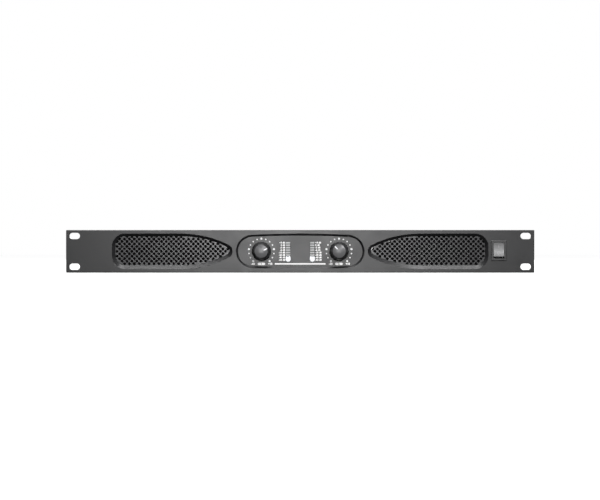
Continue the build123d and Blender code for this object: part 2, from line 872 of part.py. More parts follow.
def make_rear_panel():
    """The rear panel, a shallow pan with a flange all round, cut for every connector and fan."""
    height = cover_under_z - tray_floor_z - panel_gap
    with BuildPart() as rear_panel:
        with BuildSketch(facing(y_rear)):
            with Locations((0, cover_under_z - height / 2)):
                Rectangle(2 * (half_inside - fit_gap), height)
        extrude(amount=flange_depth)
        inner = rear_panel.faces().sort_by(Axis.Y)[0]
        offset(amount=-tray_sheet, openings=inner)
        with BuildSketch(facing(rear_inner_y)):
            with Locations(*[(x, panel_mid_z) for x in fan_x]):
                Rectangle(fan_size + 2 * fit_gap, panel_height)
        extrude(amount=flange_depth, mode=Mode.SUBTRACT)
        with BuildSketch(facing(y_rear)):
            with Locations(*[(x, panel_mid_z) for x in (*input_x, *link_x, *speaker_x)]):
                Circle(socket_barrel_radius + fit_gap)
            with Locations(*[(x, panel_mid_z + latch_rise) for x in input_x]):
                Rectangle(latch_guide_width + 2 * fit_gap, latch_guide_height + 2 * fit_gap)
            with Locations(*[(x, panel_mid_z) for x in fan_x]):
                Circle(fan_throat_radius)
            with Locations((inlet_x, panel_mid_z)):
                Rectangle(inlet_body_width + fit_gap, inlet_body_height + fit_gap)
            with Locations((breaker_x, panel_mid_z)):
                Circle(breaker_body_radius + panel_gap)
            with Locations((mode_switch_x, panel_mid_z), (ground_switch_x, panel_mid_z)):
                Rectangle(slider_slot_width, slider_height + 3 * fit_gap)
            with Locations(*[(spot.origin.X, spot.origin.Z) for spot in rear_screw_spots()]):
                Circle(screw_radius + thread_gap)
        extrude(amount=tray_sheet, mode=Mode.SUBTRACT)
        with Locations(*cover_screw_spots()):
            Cylinder(screw_radius + thread_gap, 2 * flat_screw_length, mode=Mode.SUBTRACT)
    save(rear_panel, "rear_panel")


def make_feet():
    """Four thin round pads under the tray, which stand on the same level as the panel's lower edge."""
    with BuildPart() as feet:
        with BuildSketch(Plane.XY):
            with Locations((0, y_back + chassis_depth / 2)):
                with GridLocations(chassis_width - 2 * foot_inset_x, chassis_depth - 2 * foot_inset_y, 2, 2):
                    Circle(foot_radius)
        extrude(amount=foot_height)
        chamfer(feet.faces().filter_by(Plane.XY).group_by(Axis.Z)[0].edges(), foot_edge_break)
    save(feet, "feet")


def make_panel_fixings():
    """Eight studs pressed into the back of the panel, and their nuts behind the chassis wall."""
    wall_back = y_back + tray_sheet
    with BuildPart() as panel_fixings:
        with BuildSketch(facing(y_back - stud_bury)):
            with Locations(*stud_spots):
                Circle(stud_radius)
        extrude(amount=-(stud_bury + stud_length))
        with BuildSketch(facing(wall_back)):
            with Locations(*stud_spots):
                RegularPolygon(stud_nut_across_flats / 2, 6, major_radius=False)
                Circle(stud_radius + pivot_gap, mode=Mode.SUBTRACT)
        extrude(amount=-stud_nut_thickness)
    save(panel_fixings, "panel_fixings")


# ---------------------------------------------------------------- rear connectors
def make_input_sockets():
    """Two balanced input sockets: flanged shells, their contact inserts and the sprung latch tabs."""
    back_y = y_rear - socket_depth
    with BuildPart() as input_sockets:
        for x in input_x:
            with BuildSketch(facing(y_rear)):
                with Locations((x, panel_mid_z)):
                    RectangleRounded(socket_flange_width, socket_flange_height, socket_flange_corner)
            extrude(amount=-socket_flange)
            with BuildSketch(facing(y_rear)):
                with Locations((x, panel_mid_z)):
                    Circle(socket_barrel_radius)
            extrude(amount=socket_depth)
            with BuildSketch(facing(y_rear)):
                with Locations((x, panel_mid_z + latch_rise)):
                    Rectangle(latch_guide_width, latch_guide_height)
            extrude(amount=latch_guide_depth)
            with BuildSketch(facing(y_rear + socket_flange)):
                with Locations((x, panel_mid_z)):
                    Circle(input_bore_radius)
            extrude(amount=socket_flange + socket_depth - socket_floor, mode=Mode.SUBTRACT)
            with BuildSketch(facing(y_rear + socket_flange)):
                with Locations((x, panel_mid_z + latch_rise)):
                    Rectangle(latch_width + 2 * fit_gap, latch_height + 2 * fit_gap)
            extrude(amount=socket_flange + latch_length + latch_travel + latch_clearance, mode=Mode.SUBTRACT)
            with BuildSketch(facing(y_rear + socket_flange)):
                with Locations(
                    (x - socket_screw_x, panel_mid_z + socket_screw_z),
                    (x + socket_screw_x, panel_mid_z - socket_screw_z),
                ):
                    Circle(screw_radius + thread_gap)
            extrude(amount=socket_flange, mode=Mode.SUBTRACT)
    save(input_sockets, "input_sockets")

    with BuildPart() as input_inserts:
        with BuildSketch(facing(back_y + socket_floor)):
            with Locations(*[(x, panel_mid_z) for x in input_x]):
                Circle(insert_radius)
        extrude(amount=-(socket_depth - socket_floor + socket_flange - insert_recess))
        with BuildSketch(facing(y_rear + socket_flange)):
            with Locations(*[(x, panel_mid_z) for x in input_x]):
                with PolarLocations(pin_circle, 3, start_angle=90):
                    Circle(pin_radius + panel_gap)
        extrude(amount=link_bore_depth, mode=Mode.SUBTRACT)
    save(input_inserts, "input_inserts")

    for x, suffix in zip(input_x, ("b", "a")):
        with BuildPart() as latch:
            with BuildSketch(facing(y_rear + latch_reach)):
                with Locations((x, panel_mid_z + latch_rise)):
                    Rectangle(latch_width, latch_height)
            extrude(amount=latch_reach + latch_length)
            fillet(latch.faces().sort_by(Axis.Y)[-1].edges(), latch_edge_radius)
        save(latch, f"latch_tab_{suffix}")


def make_link_sockets():
    """Two link sockets, whose three pins stand in a round well."""
    with BuildPart() as link_sockets:
        for x in link_x:
            with BuildSketch(facing(y_rear)):
                with Locations((x, panel_mid_z)):
                    RectangleRounded(socket_flange_width, socket_flange_height, socket_flange_corner)
            extrude(amount=-socket_flange)
            with BuildSketch(facing(y_rear)):
                with Locations((x, panel_mid_z)):
                    Circle(socket_barrel_radius)
            extrude(amount=socket_depth)
            with BuildSketch(facing(y_rear + socket_flange)):
                with Locations((x, panel_mid_z)):
                    Circle(link_bore_radius)
            extrude(amount=socket_flange + link_bore_depth, mode=Mode.SUBTRACT)
            with BuildSketch(facing(y_rear + socket_flange)):
                with Locations(
                    (x - socket_screw_x, panel_mid_z + socket_screw_z),
                    (x + socket_screw_x, panel_mid_z - socket_screw_z),
                ):
                    Circle(screw_radius + thread_gap)
            extrude(amount=socket_flange, mode=Mode.SUBTRACT)
    save(link_sockets, "link_sockets")

    with BuildPart() as link_pins:
        with BuildSketch(facing(y_rear - link_bore_depth)):
            with Locations(*[(x, panel_mid_z) for x in link_x]):
                with PolarLocations(pin_circle, 3, start_angle=-90):
                    Circle(pin_radius)
        extrude(amount=-(link_bore_depth + socket_flange - pin_recess))
    save(link_pins, "link_pins")


def make_speaker_sockets():
    """Two locking speaker sockets: shells with a round well, and the cores that carry the contacts."""
    well_floor_y = y_rear - socket_depth + socket_floor
    core_top_y = y_rear + socket_flange - pin_recess
    with BuildPart() as speaker_sockets:
        for x in speaker_x:
            with BuildSketch(facing(y_rear)):
                with Locations((x, panel_mid_z)):
                    RectangleRounded(socket_flange_width, socket_flange_height, socket_flange_corner)
            extrude(amount=-socket_flange)
            with BuildSketch(facing(y_rear)):
                with Locations((x, panel_mid_z)):
                    Circle(socket_barrel_radius)
            extrude(amount=socket_depth)
            with BuildSketch(facing(y_rear + socket_flange)):
                with Locations((x, panel_mid_z)):
                    Circle(speaker_bore_radius)
            extrude(amount=y_rear + socket_flange - well_floor_y, mode=Mode.SUBTRACT)
            with BuildSketch(facing(y_rear + socket_flange)):
                with Locations(
                    (x - socket_screw_x, panel_mid_z + socket_screw_z),
                    (x + socket_screw_x, panel_mid_z - socket_screw_z),
                ):
                    Circle(screw_radius + thread_gap)
            extrude(amount=socket_flange, mode=Mode.SUBTRACT)
    save(speaker_sockets, "speaker_sockets")

    with BuildPart() as speaker_cores:
        with BuildSketch(facing(core_top_y)):
            for x in speaker_x:
                with Locations((x, panel_mid_z)):
                    Circle(speaker_core_radius)
        extrude(amount=core_top_y - well_floor_y)
        with BuildSketch(facing(core_top_y)):
            for x in speaker_x:
                with Locations((x, panel_mid_z)), PolarLocations(speaker_core_radius, 4, start_angle=45):
                    Rectangle(contact_slot_width, contact_slot_depth)
        extrude(amount=link_bore_depth, mode=Mode.SUBTRACT)
    save(speaker_cores, "speaker_cores")


def make_mains_inlet():
    """The mains inlet: a flanged moulding with a keyed well, and its three blades."""
    blades = [
        (inlet_x - blade_spacing, panel_mid_z - blade_rise),
        (inlet_x + blade_spacing, panel_mid_z - blade_rise),
        (inlet_x, panel_mid_z + blade_rise),
    ]
    with BuildPart() as mains_inlet:
        with BuildSketch(facing(y_rear)):
            with Locations((inlet_x, panel_mid_z)):
                RectangleRounded(inlet_flange_width, inlet_flange_height, inlet_flange_corner)
        extrude(amount=-inlet_flange)
        with BuildSketch(facing(y_rear)):
            with Locations((inlet_x, panel_mid_z)):
                Rectangle(inlet_body_width, inlet_body_height)
        extrude(amount=inlet_body_depth)
        with BuildSketch(facing(y_rear + inlet_flange)) as well:
            with Locations((inlet_x, panel_mid_z)):
                Rectangle(inlet_well_width, inlet_well_height)
            chamfer(well.vertices().group_by(Axis.Z)[-1], inlet_well_chamfer)
        extrude(amount=inlet_flange + inlet_well_depth, mode=Mode.SUBTRACT)
        with BuildSketch(facing(y_rear + inlet_flange)):
            with Locations((inlet_x - inlet_screw_x, panel_mid_z), (inlet_x + inlet_screw_x, panel_mid_z)):
                Circle(screw_radius + thread_gap)
        extrude(amount=inlet_flange, mode=Mode.SUBTRACT)
        with BuildSketch(facing(y_rear - inlet_body_depth)):
            with Locations(*blades):
                Rectangle(blade_width, blade_height)
        extrude(amount=-(inlet_body_depth - inlet_well_depth), mode=Mode.SUBTRACT)
    save(mains_inlet, "mains_inlet")

    with BuildPart() as inlet_blades:
        with BuildSketch(facing(y_rear - inlet_body_depth - blade_tail)):
            with Locations(*blades):
                Rectangle(blade_width, blade_height)
        extrude(amount=-(blade_tail + inlet_body_depth + inlet_flange - blade_recess))
    save(inlet_blades, "inlet_blades")


def make_breaker():
    """The thermal circuit breaker: a round body through the rear panel, and its reset button, pressed in."""
    with BuildPart() as breaker_body:
        with BuildSketch(facing(y_rear)):
            with Locations((breaker_x, panel_mid_z)):
                Circle(breaker_bezel_radius)
        extrude(amount=-breaker_bezel)
        chamfer(breaker_body.faces().sort_by(Axis.Y)[-1].edges(), breaker_edge_break)
        with BuildSketch(facing(y_rear)):
            with Locations((breaker_x, panel_mid_z)):
                Circle(breaker_body_radius)
        extrude(amount=breaker_body_depth)
        with BuildSketch(facing(y_rear + breaker_bezel)):
            with Locations((breaker_x, panel_mid_z)):
                Circle(button_radius + pivot_gap)
        extrude(amount=breaker_bezel + button_well_depth, mode=Mode.SUBTRACT)
    save(breaker_body, "breaker_body")

    with BuildPart() as breaker_button:
        with BuildSketch(facing(y_rear + button_reach)):
            with Locations((breaker_x, panel_mid_z)):
                Circle(button_radius)
        extrude(amount=button_length + button_reach)
        fillet(breaker_button.faces().sort_by(Axis.Y)[-1].edges(), breaker_edge_break)
    save(breaker_button, "breaker_button")


def make_slide_switches():
    """Two slide switches behind slots in the rear panel: three-way for the mode, two-way for the ground."""
    centres = [(mode_switch_x, panel_mid_z), (ground_switch_x, panel_mid_z)]
    with BuildPart() as slide_switch_bodies:
        with BuildSketch(facing(rear_inner_y)):
            with Locations(*centres):
                Rectangle(slide_body_width, slide_body_height)
        extrude(amount=slide_body_depth)
        with BuildSketch(facing(rear_inner_y)):
            with Locations(*centres):
                Rectangle(slider_slot_width, slider_height + 2 * fit_gap)
        extrude(amount=slide_body_depth - slide_body_floor, mode=Mode.SUBTRACT)
    save(slide_switch_bodies, "slide_switch_bodies")

    ground_rest = ground_switch_x - (slider_slot_width - slider_width) / 2 + fit_gap
    for x, name in ((mode_switch_x, "mode_slider"), (ground_rest, "ground_slider")):
        with BuildPart() as slider:
            with BuildSketch(facing(y_rear + slider_reach)):
                with Locations((x, panel_mid_z)):
                    Rectangle(slider_width, slider_height)
            extrude(amount=slider_reach + slider_length)
            with BuildSketch(facing(y_rear + slider_reach)):
                with Locations((x, panel_mid_z)), GridLocations(slider_groove_pitch, 1, 3, 1):
                    Rectangle(slider_groove_width, slider_height)
            extrude(amount=slider_groove_depth, mode=Mode.SUBTRACT)
        save(slider, name)


# ---------------------------------------------------------------- fans
def make_fans():
    """Two exhaust fans against the rear panel: square frames, turning rotors and wire guards outside."""
    frame_front_y = rear_inner_y - fan_depth
    corners = [(side * fan_screw_offset, level * fan_screw_offset) for side in (-1, 1) for level in (-1, 1)]
    with BuildPart() as fan_frames:
        for x in fan_x:
            with BuildSketch(facing(frame_front_y)):
                with Locations((x, panel_mid_z)):
                    RectangleRounded(fan_size, fan_size, fan_corner)
                    Circle(fan_throat_radius, mode=Mode.SUBTRACT)
                with Locations(*[(x + dx, panel_mid_z + dz) for dx, dz in corners]):
                    Circle(screw_radius + thread_gap, mode=Mode.SUBTRACT)
            extrude(amount=-fan_depth)
            with BuildSketch(facing(frame_front_y)):
                with Locations((x, panel_mid_z)):
                    Circle(hub_radius + motor_rim)
                with Locations((x, panel_mid_z)), PolarLocations(
                    (fan_throat_radius + hub_radius) / 2, 3, start_angle=90
                ):
                    Rectangle(fan_throat_radius - hub_radius + 2 * strut_bury, strut_width)
            extrude(amount=-motor_thickness)
            with BuildSketch(facing(frame_front_y)):
                with Locations((x, panel_mid_z)):
                    Circle(axle_radius + pivot_gap)
            extrude(amount=-motor_thickness, mode=Mode.SUBTRACT)
    save(fan_frames, "fan_frames")

    hub_front_y = frame_front_y + motor_thickness + hub_front_gap
    blade_mid_y = hub_front_y + hub_depth / 2
    for x, suffix in zip(fan_x, ("a", "b")):
        with BuildPart() as fan_rotor:
            for number in range(blade_count):
                turn = 360 * number / blade_count
                out = Vector(sin(radians(turn)), 0, cos(radians(turn)))
                across = Vector(cos(radians(turn)), 0, -sin(radians(turn)))
                middle = Vector(x, blade_mid_y, panel_mid_z)
                for reach, pitch in (
                    (hub_radius - motor_rim, fan_blade_pitch_root),
                    (rotor_radius + motor_rim, fan_blade_pitch_tip),
                ):
                    chord_dir = across * cos(radians(pitch)) + Vector(0, 1, 0) * sin(radians(pitch))
                    with BuildSketch(Plane(origin=middle + out * reach, x_dir=chord_dir, z_dir=out)):
                        Rectangle(fan_blade_chord, fan_blade_thickness)
                loft()
            with BuildSketch(facing(hub_front_y)):
                with Locations((x, panel_mid_z)):
                    Circle(rotor_radius)
            extrude(amount=-hub_depth, mode=Mode.INTERSECT)
            with BuildSketch(facing(hub_front_y)):
                with Locations((x, panel_mid_z)):
                    Circle(hub_radius)
            extrude(amount=-hub_depth)
            with BuildSketch(facing(hub_front_y)):
                with Locations((x, panel_mid_z)):
                    Circle(axle_radius)
            extrude(amount=motor_thickness)
        save(fan_rotor, f"fan_rotor_{suffix}")

    wire_y = y_rear + guard_wire_radius
    arm_half = hypot(fan_screw_offset, fan_screw_offset) - guard_eye_radius
    with BuildPart() as fan_guards:
        for x in fan_x:
            centre = Plane(origin=(x, wire_y, panel_mid_z), x_dir=(1, 0, 0), z_dir=(0, 1, 0))
            with Locations(centre.offset(1.5 * guard_wire_radius)):
                for ring in guard_rings:
                    Torus(ring, guard_wire_radius)
            eyes = [spot_on((x + dx, wire_y, panel_mid_z + dz), (0, 1, 0)) for dx, dz in corners]
            with Locations(*eyes):
                Torus(guard_eye_radius, guard_wire_radius)
            for lean in (-1, 1):
                with Locations(Plane(origin=(x, wire_y, panel_mid_z), z_dir=(lean, 0, 1))):
                    Cylinder(guard_wire_radius, 2 * arm_half)
    save(fan_guards, "fan_guards")


# ---------------------------------------------------------------- boards and power parts
def make_boards():
    """The two main boards on standoffs, the board behind the signal sockets, and the board screws."""
    for name, (x_low, x_high), (y_low, y_high) in (
        ("psu_board", psu_board_x, psu_board_y),
        ("amp_board", amp_board_x, amp_board_y),
    ):
        width, length = x_high - x_low, y_high - y_low
        with BuildPart() as board:
            with BuildSketch(Plane.XY.offset(board_top_z)):
                with Locations(((x_low + x_high) / 2, y_back + (y_low + y_high) / 2)):
                    Rectangle(width, length)
                    with GridLocations(width - 2 * board_hole_inset, length - 2 * board_hole_inset, 2, 2):
                        Circle(screw_radius + thread_gap, mode=Mode.SUBTRACT)
            extrude(amount=-board_thickness)
        save(board, name)

    with BuildPart() as standoffs:
        with BuildSketch(Plane.XY.offset(tray_floor_z)):
            with Locations(*standoff_spots()):
                RegularPolygon(standoff_radius, 6, major_radius=False)
                Circle(screw_radius + pivot_gap, mode=Mode.SUBTRACT)
        extrude(amount=standoff_height)
    save(standoffs, "standoffs")

    heads = [spot_on((x, y, board_top_z), (0, 0, 1)) for x, y in standoff_spots()]
    save(pan_screws(heads, board_thickness + board_screw_length), "board_screws")

    signal_x = (*input_x, *link_x)
    margin = socket_flange_width / 2
    width = max(signal_x) - min(signal_x) + 2 * margin
    with BuildPart() as input_board:
        with BuildSketch(facing(y_rear - socket_depth)):
            with Locations(((max(signal_x) + min(signal_x)) / 2, panel_mid_z)):
                Rectangle(width, cover_under_z - tray_floor_z - 8)
        extrude(amount=board_thickness)
    save(input_board, "input_board")


def make_heatsinks(sinks):
    """Upright heatsinks along the air path, fins to the left. Each is an x, a middle y and a length."""
    pitch = (heatsink_height - fin_thickness) / (fin_count - 1)
    with BuildPart() as heatsinks:
        for x, middle_y, length in sinks:
            with BuildSketch(facing(middle_y + length / 2)):
                with Locations((x, board_top_z + heatsink_height / 2)):
                    Rectangle(heatsink_base, heatsink_height)
                fin_x = x - heatsink_base / 2 - fin_length / 2
                for fin in range(fin_count):
                    with Locations((fin_x, board_top_z + fin_thickness / 2 + fin * pitch)):
                        Rectangle(fin_length + 0.2, fin_thickness)
            extrude(amount=length)
    save(heatsinks, "heatsinks")


def make_power_parts():
    """Heatsinks with their transistors, the transformer, capacitors, chokes and inductors on the boards."""
    amp_y = y_back + sum(amp_board_y) / 2
    psu_y = y_back + sum(psu_board_y) / 2
    sinks = [(x, amp_y, amp_heatsink_length) for x in amp_heatsink_x]
    sinks.append((psu_heatsink_x, psu_y, psu_heatsink_length))
    make_heatsinks(sinks)

    with BuildPart() as power_transistors:
        for sink_x, sink_y, sink_length in sinks:
            pitch = sink_length / transistors_per_sink
            body_x = sink_x + heatsink_base / 2 + transistor_thickness / 2
            for number in range(transistors_per_sink):
                body_y = sink_y + (number - (transistors_per_sink - 1) / 2) * pitch
                with BuildSketch(Plane.XY.offset(board_top_z + transistor_leg)):
                    with Locations((body_x, body_y)):
                        Rectangle(transistor_thickness, transistor_width)
                extrude(amount=transistor_height)
                with BuildSketch(Plane.XY.offset(board_top_z)):
                    with Locations((body_x, body_y)), GridLocations(1, transistor_leg_pitch, 1, 3):
                        Rectangle(transistor_leg_thickness, transistor_leg_width)
                extrude(amount=transistor_leg)
    save(power_transistors, "power_transistors")

    psu_x = sum(psu_board_x) / 2
    transformer_x = psu_x + transformer_offset_x
    transformer_y = psu_y + transformer_offset_y
    window_x = core_leg / 2 + core_window / 2
    yoke = (core_height - core_window_height) / 2
    with BuildPart() as transformer_core:
        with BuildSketch(facing(transformer_y + core_depth / 2)):
            with Locations((transformer_x, board_top_z + core_height / 2)):
                Rectangle(core_width, core_height)
            with Locations(
                (transformer_x - window_x, board_top_z + core_height / 2),
                (transformer_x + window_x, board_top_z + core_height / 2),
            ):
                Rectangle(core_window, core_window_height, mode=Mode.SUBTRACT)
        extrude(amount=core_depth)
    save(transformer_core, "transformer_core")

    with BuildPart() as transformer_winding:
        with BuildSketch(Plane.XY.offset(board_top_z + yoke + fit_gap)):
            with Locations((transformer_x, transformer_y)):
                RectangleRounded(
                    core_leg + 2 * winding_overhang,
                    core_depth + 2 * winding_overhang,
                    winding_corner,
                )
                Rectangle(core_leg + 2 * fit_gap, core_depth + 2 * fit_gap, mode=Mode.SUBTRACT)
        extrude(amount=core_window_height - 2 * fit_gap)
    save(transformer_winding, "transformer_winding")

    capacitor_pitch = 2 * capacitor_radius + capacitor_gap
    with BuildPart() as bulk_capacitors:
        with BuildSketch(Plane.XY.offset(board_top_z)):
            with Locations((psu_x + capacitor_offset_x, psu_y + capacitor_offset_y)):
                with GridLocations(capacitor_pitch, capacitor_pitch, 2, 2):
                    Circle(capacitor_radius)
        extrude(amount=capacitor_height)
        fillet(bulk_capacitors.faces().filter_by(Plane.XY).group_by(Axis.Z)[-1].edges(), capacitor_rim)
    save(bulk_capacitors, "bulk_capacitors")

    ring_z = board_top_z + inductor_wire_radius
    with BuildPart() as filter_choke:
        with Locations((psu_x + choke_offset_x, psu_y + choke_offset_y, ring_z)):
            Torus(inductor_ring_radius, inductor_wire_radius)
    save(filter_choke, "filter_choke")

    with BuildPart() as output_inductors:
        ring_y = amp_y + inductor_offset_y
        with Locations(*[(x + inductor_offset_x, ring_y, ring_z) for x in amp_heatsink_x]):
            Torus(inductor_ring_radius, inductor_wire_radius)
    save(output_inductors, "output_inductors")

    with BuildPart() as film_capacitors:
        with BuildSketch(Plane.XY.offset(board_top_z)):
            for x in amp_heatsink_x:
                with Locations((x + film_offset_x, amp_y)), GridLocations(1, film_pitch, 1, 4):
                    RectangleRounded(film_width, film_depth, film_corner)
        extrude(amount=film_height)
    save(film_capacitors, "film_capacitors")


def make_wiring():
    """The internal leads: mains from the inlet to the power switch, speaker leads, the control ribbon."""
    wall_x = half_inside - 2.5 * lead_wire_radius
    terminal_y = y_back + switch_depth - panel_thickness + 9.0
    with BuildPart() as mains_leads:
        for level, row in ((-3.5, -1), (3.5, 1)):
            start_x = inlet_x + row * blade_spacing
            run_z = panel_mid_z - 8 + 4 * row
            start_y = y_rear - inlet_body_depth - blade_tail
            points = [
                (start_x, start_y, panel_mid_z - blade_rise),
                (start_x, start_y - 20, panel_mid_z - blade_rise),
                (wall_x, start_y - 60, run_z),
                (wall_x, terminal_y + 60, run_z),
                (switch_x + 3.2, terminal_y + 22, switch_z + level),
                (switch_x + 3.2, terminal_y, switch_z + level),
            ]
            with BuildLine():
                FilletPolyline(*points, radius=9.0)
            with BuildSketch(Plane(origin=points[0], z_dir=(0, -1, 0))):
                Circle(lead_wire_radius)
            sweep()
    save(mains_leads, "mains_leads")

    with BuildPart() as speaker_leads:
        for x in speaker_x:
            for row in (-1, 1):
                start = (x + row * 4.0, y_rear - socket_depth, panel_mid_z)
                landing = (x + row * 4.0 - 12, y_back + amp_board_y[1] - 5, board_top_z)
                with BuildLine():
                    FilletPolyline(
                        start,
                        (start[0], start[1] - 11, start[2]),
                        (landing[0], landing[1], landing[2] + 10),
                        landing,
                        radius=4.0,
                    )
                with BuildSketch(Plane(origin=start, z_dir=(0, -1, 0))):
                    Circle(lead_wire_radius)
                sweep()
    save(speaker_leads, "speaker_leads")

    ribbon_top = panel_mid_z - 8
    ribbon_start = control_board_y + board_thickness
    ribbon_end = y_back + amp_board_y[0] + 12
    section = Plane(origin=(-ribbon_width, 0, 0), x_dir=(0, 1, 0), z_dir=(1, 0, 0))
    with BuildPart() as ribbon_cable:
        with BuildSketch(section):
            with BuildLine():
                Polyline(
                    (ribbon_start, ribbon_top),
                    (ribbon_end, ribbon_top),
                    (ribbon_end, board_top_z),
                    (ribbon_end - ribbon_thickness, board_top_z),
                    (ribbon_end - ribbon_thickness, ribbon_top - ribbon_thickness),
                    (ribbon_start, ribbon_top - ribbon_thickness),
                    close=True,
                )
            make_face()
        extrude(amount=ribbon_width)
    save(ribbon_cable, "ribbon_cable")


# ---------------------------------------------------------------- build everything
make_front_panel()
make_grille(-1, "grille_left")
make_grille(1, "grille_right")
make_air_filters()
make_control_plate()
make_indicator_leds()
make_potentiometers()
make_pot_nuts()
make_control_board()
for position, turn, suffix in zip(knob_x, knob_turn, ("a", "b")):
    make_knob(position, turn, suffix)
make_power_switch()
make_chassis_tray()
make_top_cover()
make_rear_panel()
make_feet()
make_panel_fixings()
save(flat_screws(cover_screw_spots() + floor_screw_spots()), "case_screws")
save(pan_screws(rear_screw_spots(), rear_screw_length), "rear_screws")
make_input_sockets()
make_link_sockets()
make_speaker_sockets()
make_mains_inlet()
make_breaker()
make_slide_switches()
make_fans()
make_boards()
make_power_parts()
make_wiring()
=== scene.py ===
import json
import math

import bmesh
import bpy
from mathutils import Matrix, Vector, noise


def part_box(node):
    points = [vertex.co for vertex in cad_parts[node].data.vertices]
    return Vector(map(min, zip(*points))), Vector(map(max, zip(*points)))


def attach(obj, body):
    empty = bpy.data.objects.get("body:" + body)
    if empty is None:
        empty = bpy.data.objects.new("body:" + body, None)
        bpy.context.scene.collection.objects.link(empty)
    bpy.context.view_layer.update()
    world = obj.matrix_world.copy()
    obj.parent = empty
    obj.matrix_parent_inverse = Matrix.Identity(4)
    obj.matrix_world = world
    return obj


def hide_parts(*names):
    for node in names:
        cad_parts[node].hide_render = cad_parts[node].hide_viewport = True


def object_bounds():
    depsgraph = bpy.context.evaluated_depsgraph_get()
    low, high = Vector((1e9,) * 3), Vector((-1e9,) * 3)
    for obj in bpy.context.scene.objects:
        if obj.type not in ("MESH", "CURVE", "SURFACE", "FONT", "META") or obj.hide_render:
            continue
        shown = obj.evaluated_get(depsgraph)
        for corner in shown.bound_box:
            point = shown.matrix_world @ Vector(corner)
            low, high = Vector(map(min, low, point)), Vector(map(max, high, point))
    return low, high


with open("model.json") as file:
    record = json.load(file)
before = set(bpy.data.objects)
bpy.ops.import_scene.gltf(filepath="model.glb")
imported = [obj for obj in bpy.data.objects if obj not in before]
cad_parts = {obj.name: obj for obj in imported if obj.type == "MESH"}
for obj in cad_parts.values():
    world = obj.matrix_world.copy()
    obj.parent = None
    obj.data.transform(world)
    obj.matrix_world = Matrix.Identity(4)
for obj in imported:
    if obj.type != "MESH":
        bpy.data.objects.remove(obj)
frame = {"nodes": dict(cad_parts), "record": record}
cad_box = [list(corner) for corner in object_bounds()]
nodes = frame["nodes"]
MM = 0.001


# ---------------------------------------------------------------- places, all read from the CAD nodes
def middle(node):
    """The centre of a node's box."""
    low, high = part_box(node)
    return (low + high) / 2


panel_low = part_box("front_panel")[0]
panel_mid = middle("front_panel")
plate_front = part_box("control_plate")[0].y
dial_a = middle("knob_shaft_a")
dial_b = middle("knob_shaft_b")
knob_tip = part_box("knob_a")[0].y
led_low, led_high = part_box("indicator_leds")
rear_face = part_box("rear_panel")[1].y


# ---------------------------------------------------------------- material building blocks
NOISE_ROUGHNESS = 0.55
NOISE_LOW, NOISE_HIGH = 0.3, 0.7  # the part of a noise's range that is put to use
BEVEL_SAMPLES = 4
OCCLUSION_SAMPLES = 8


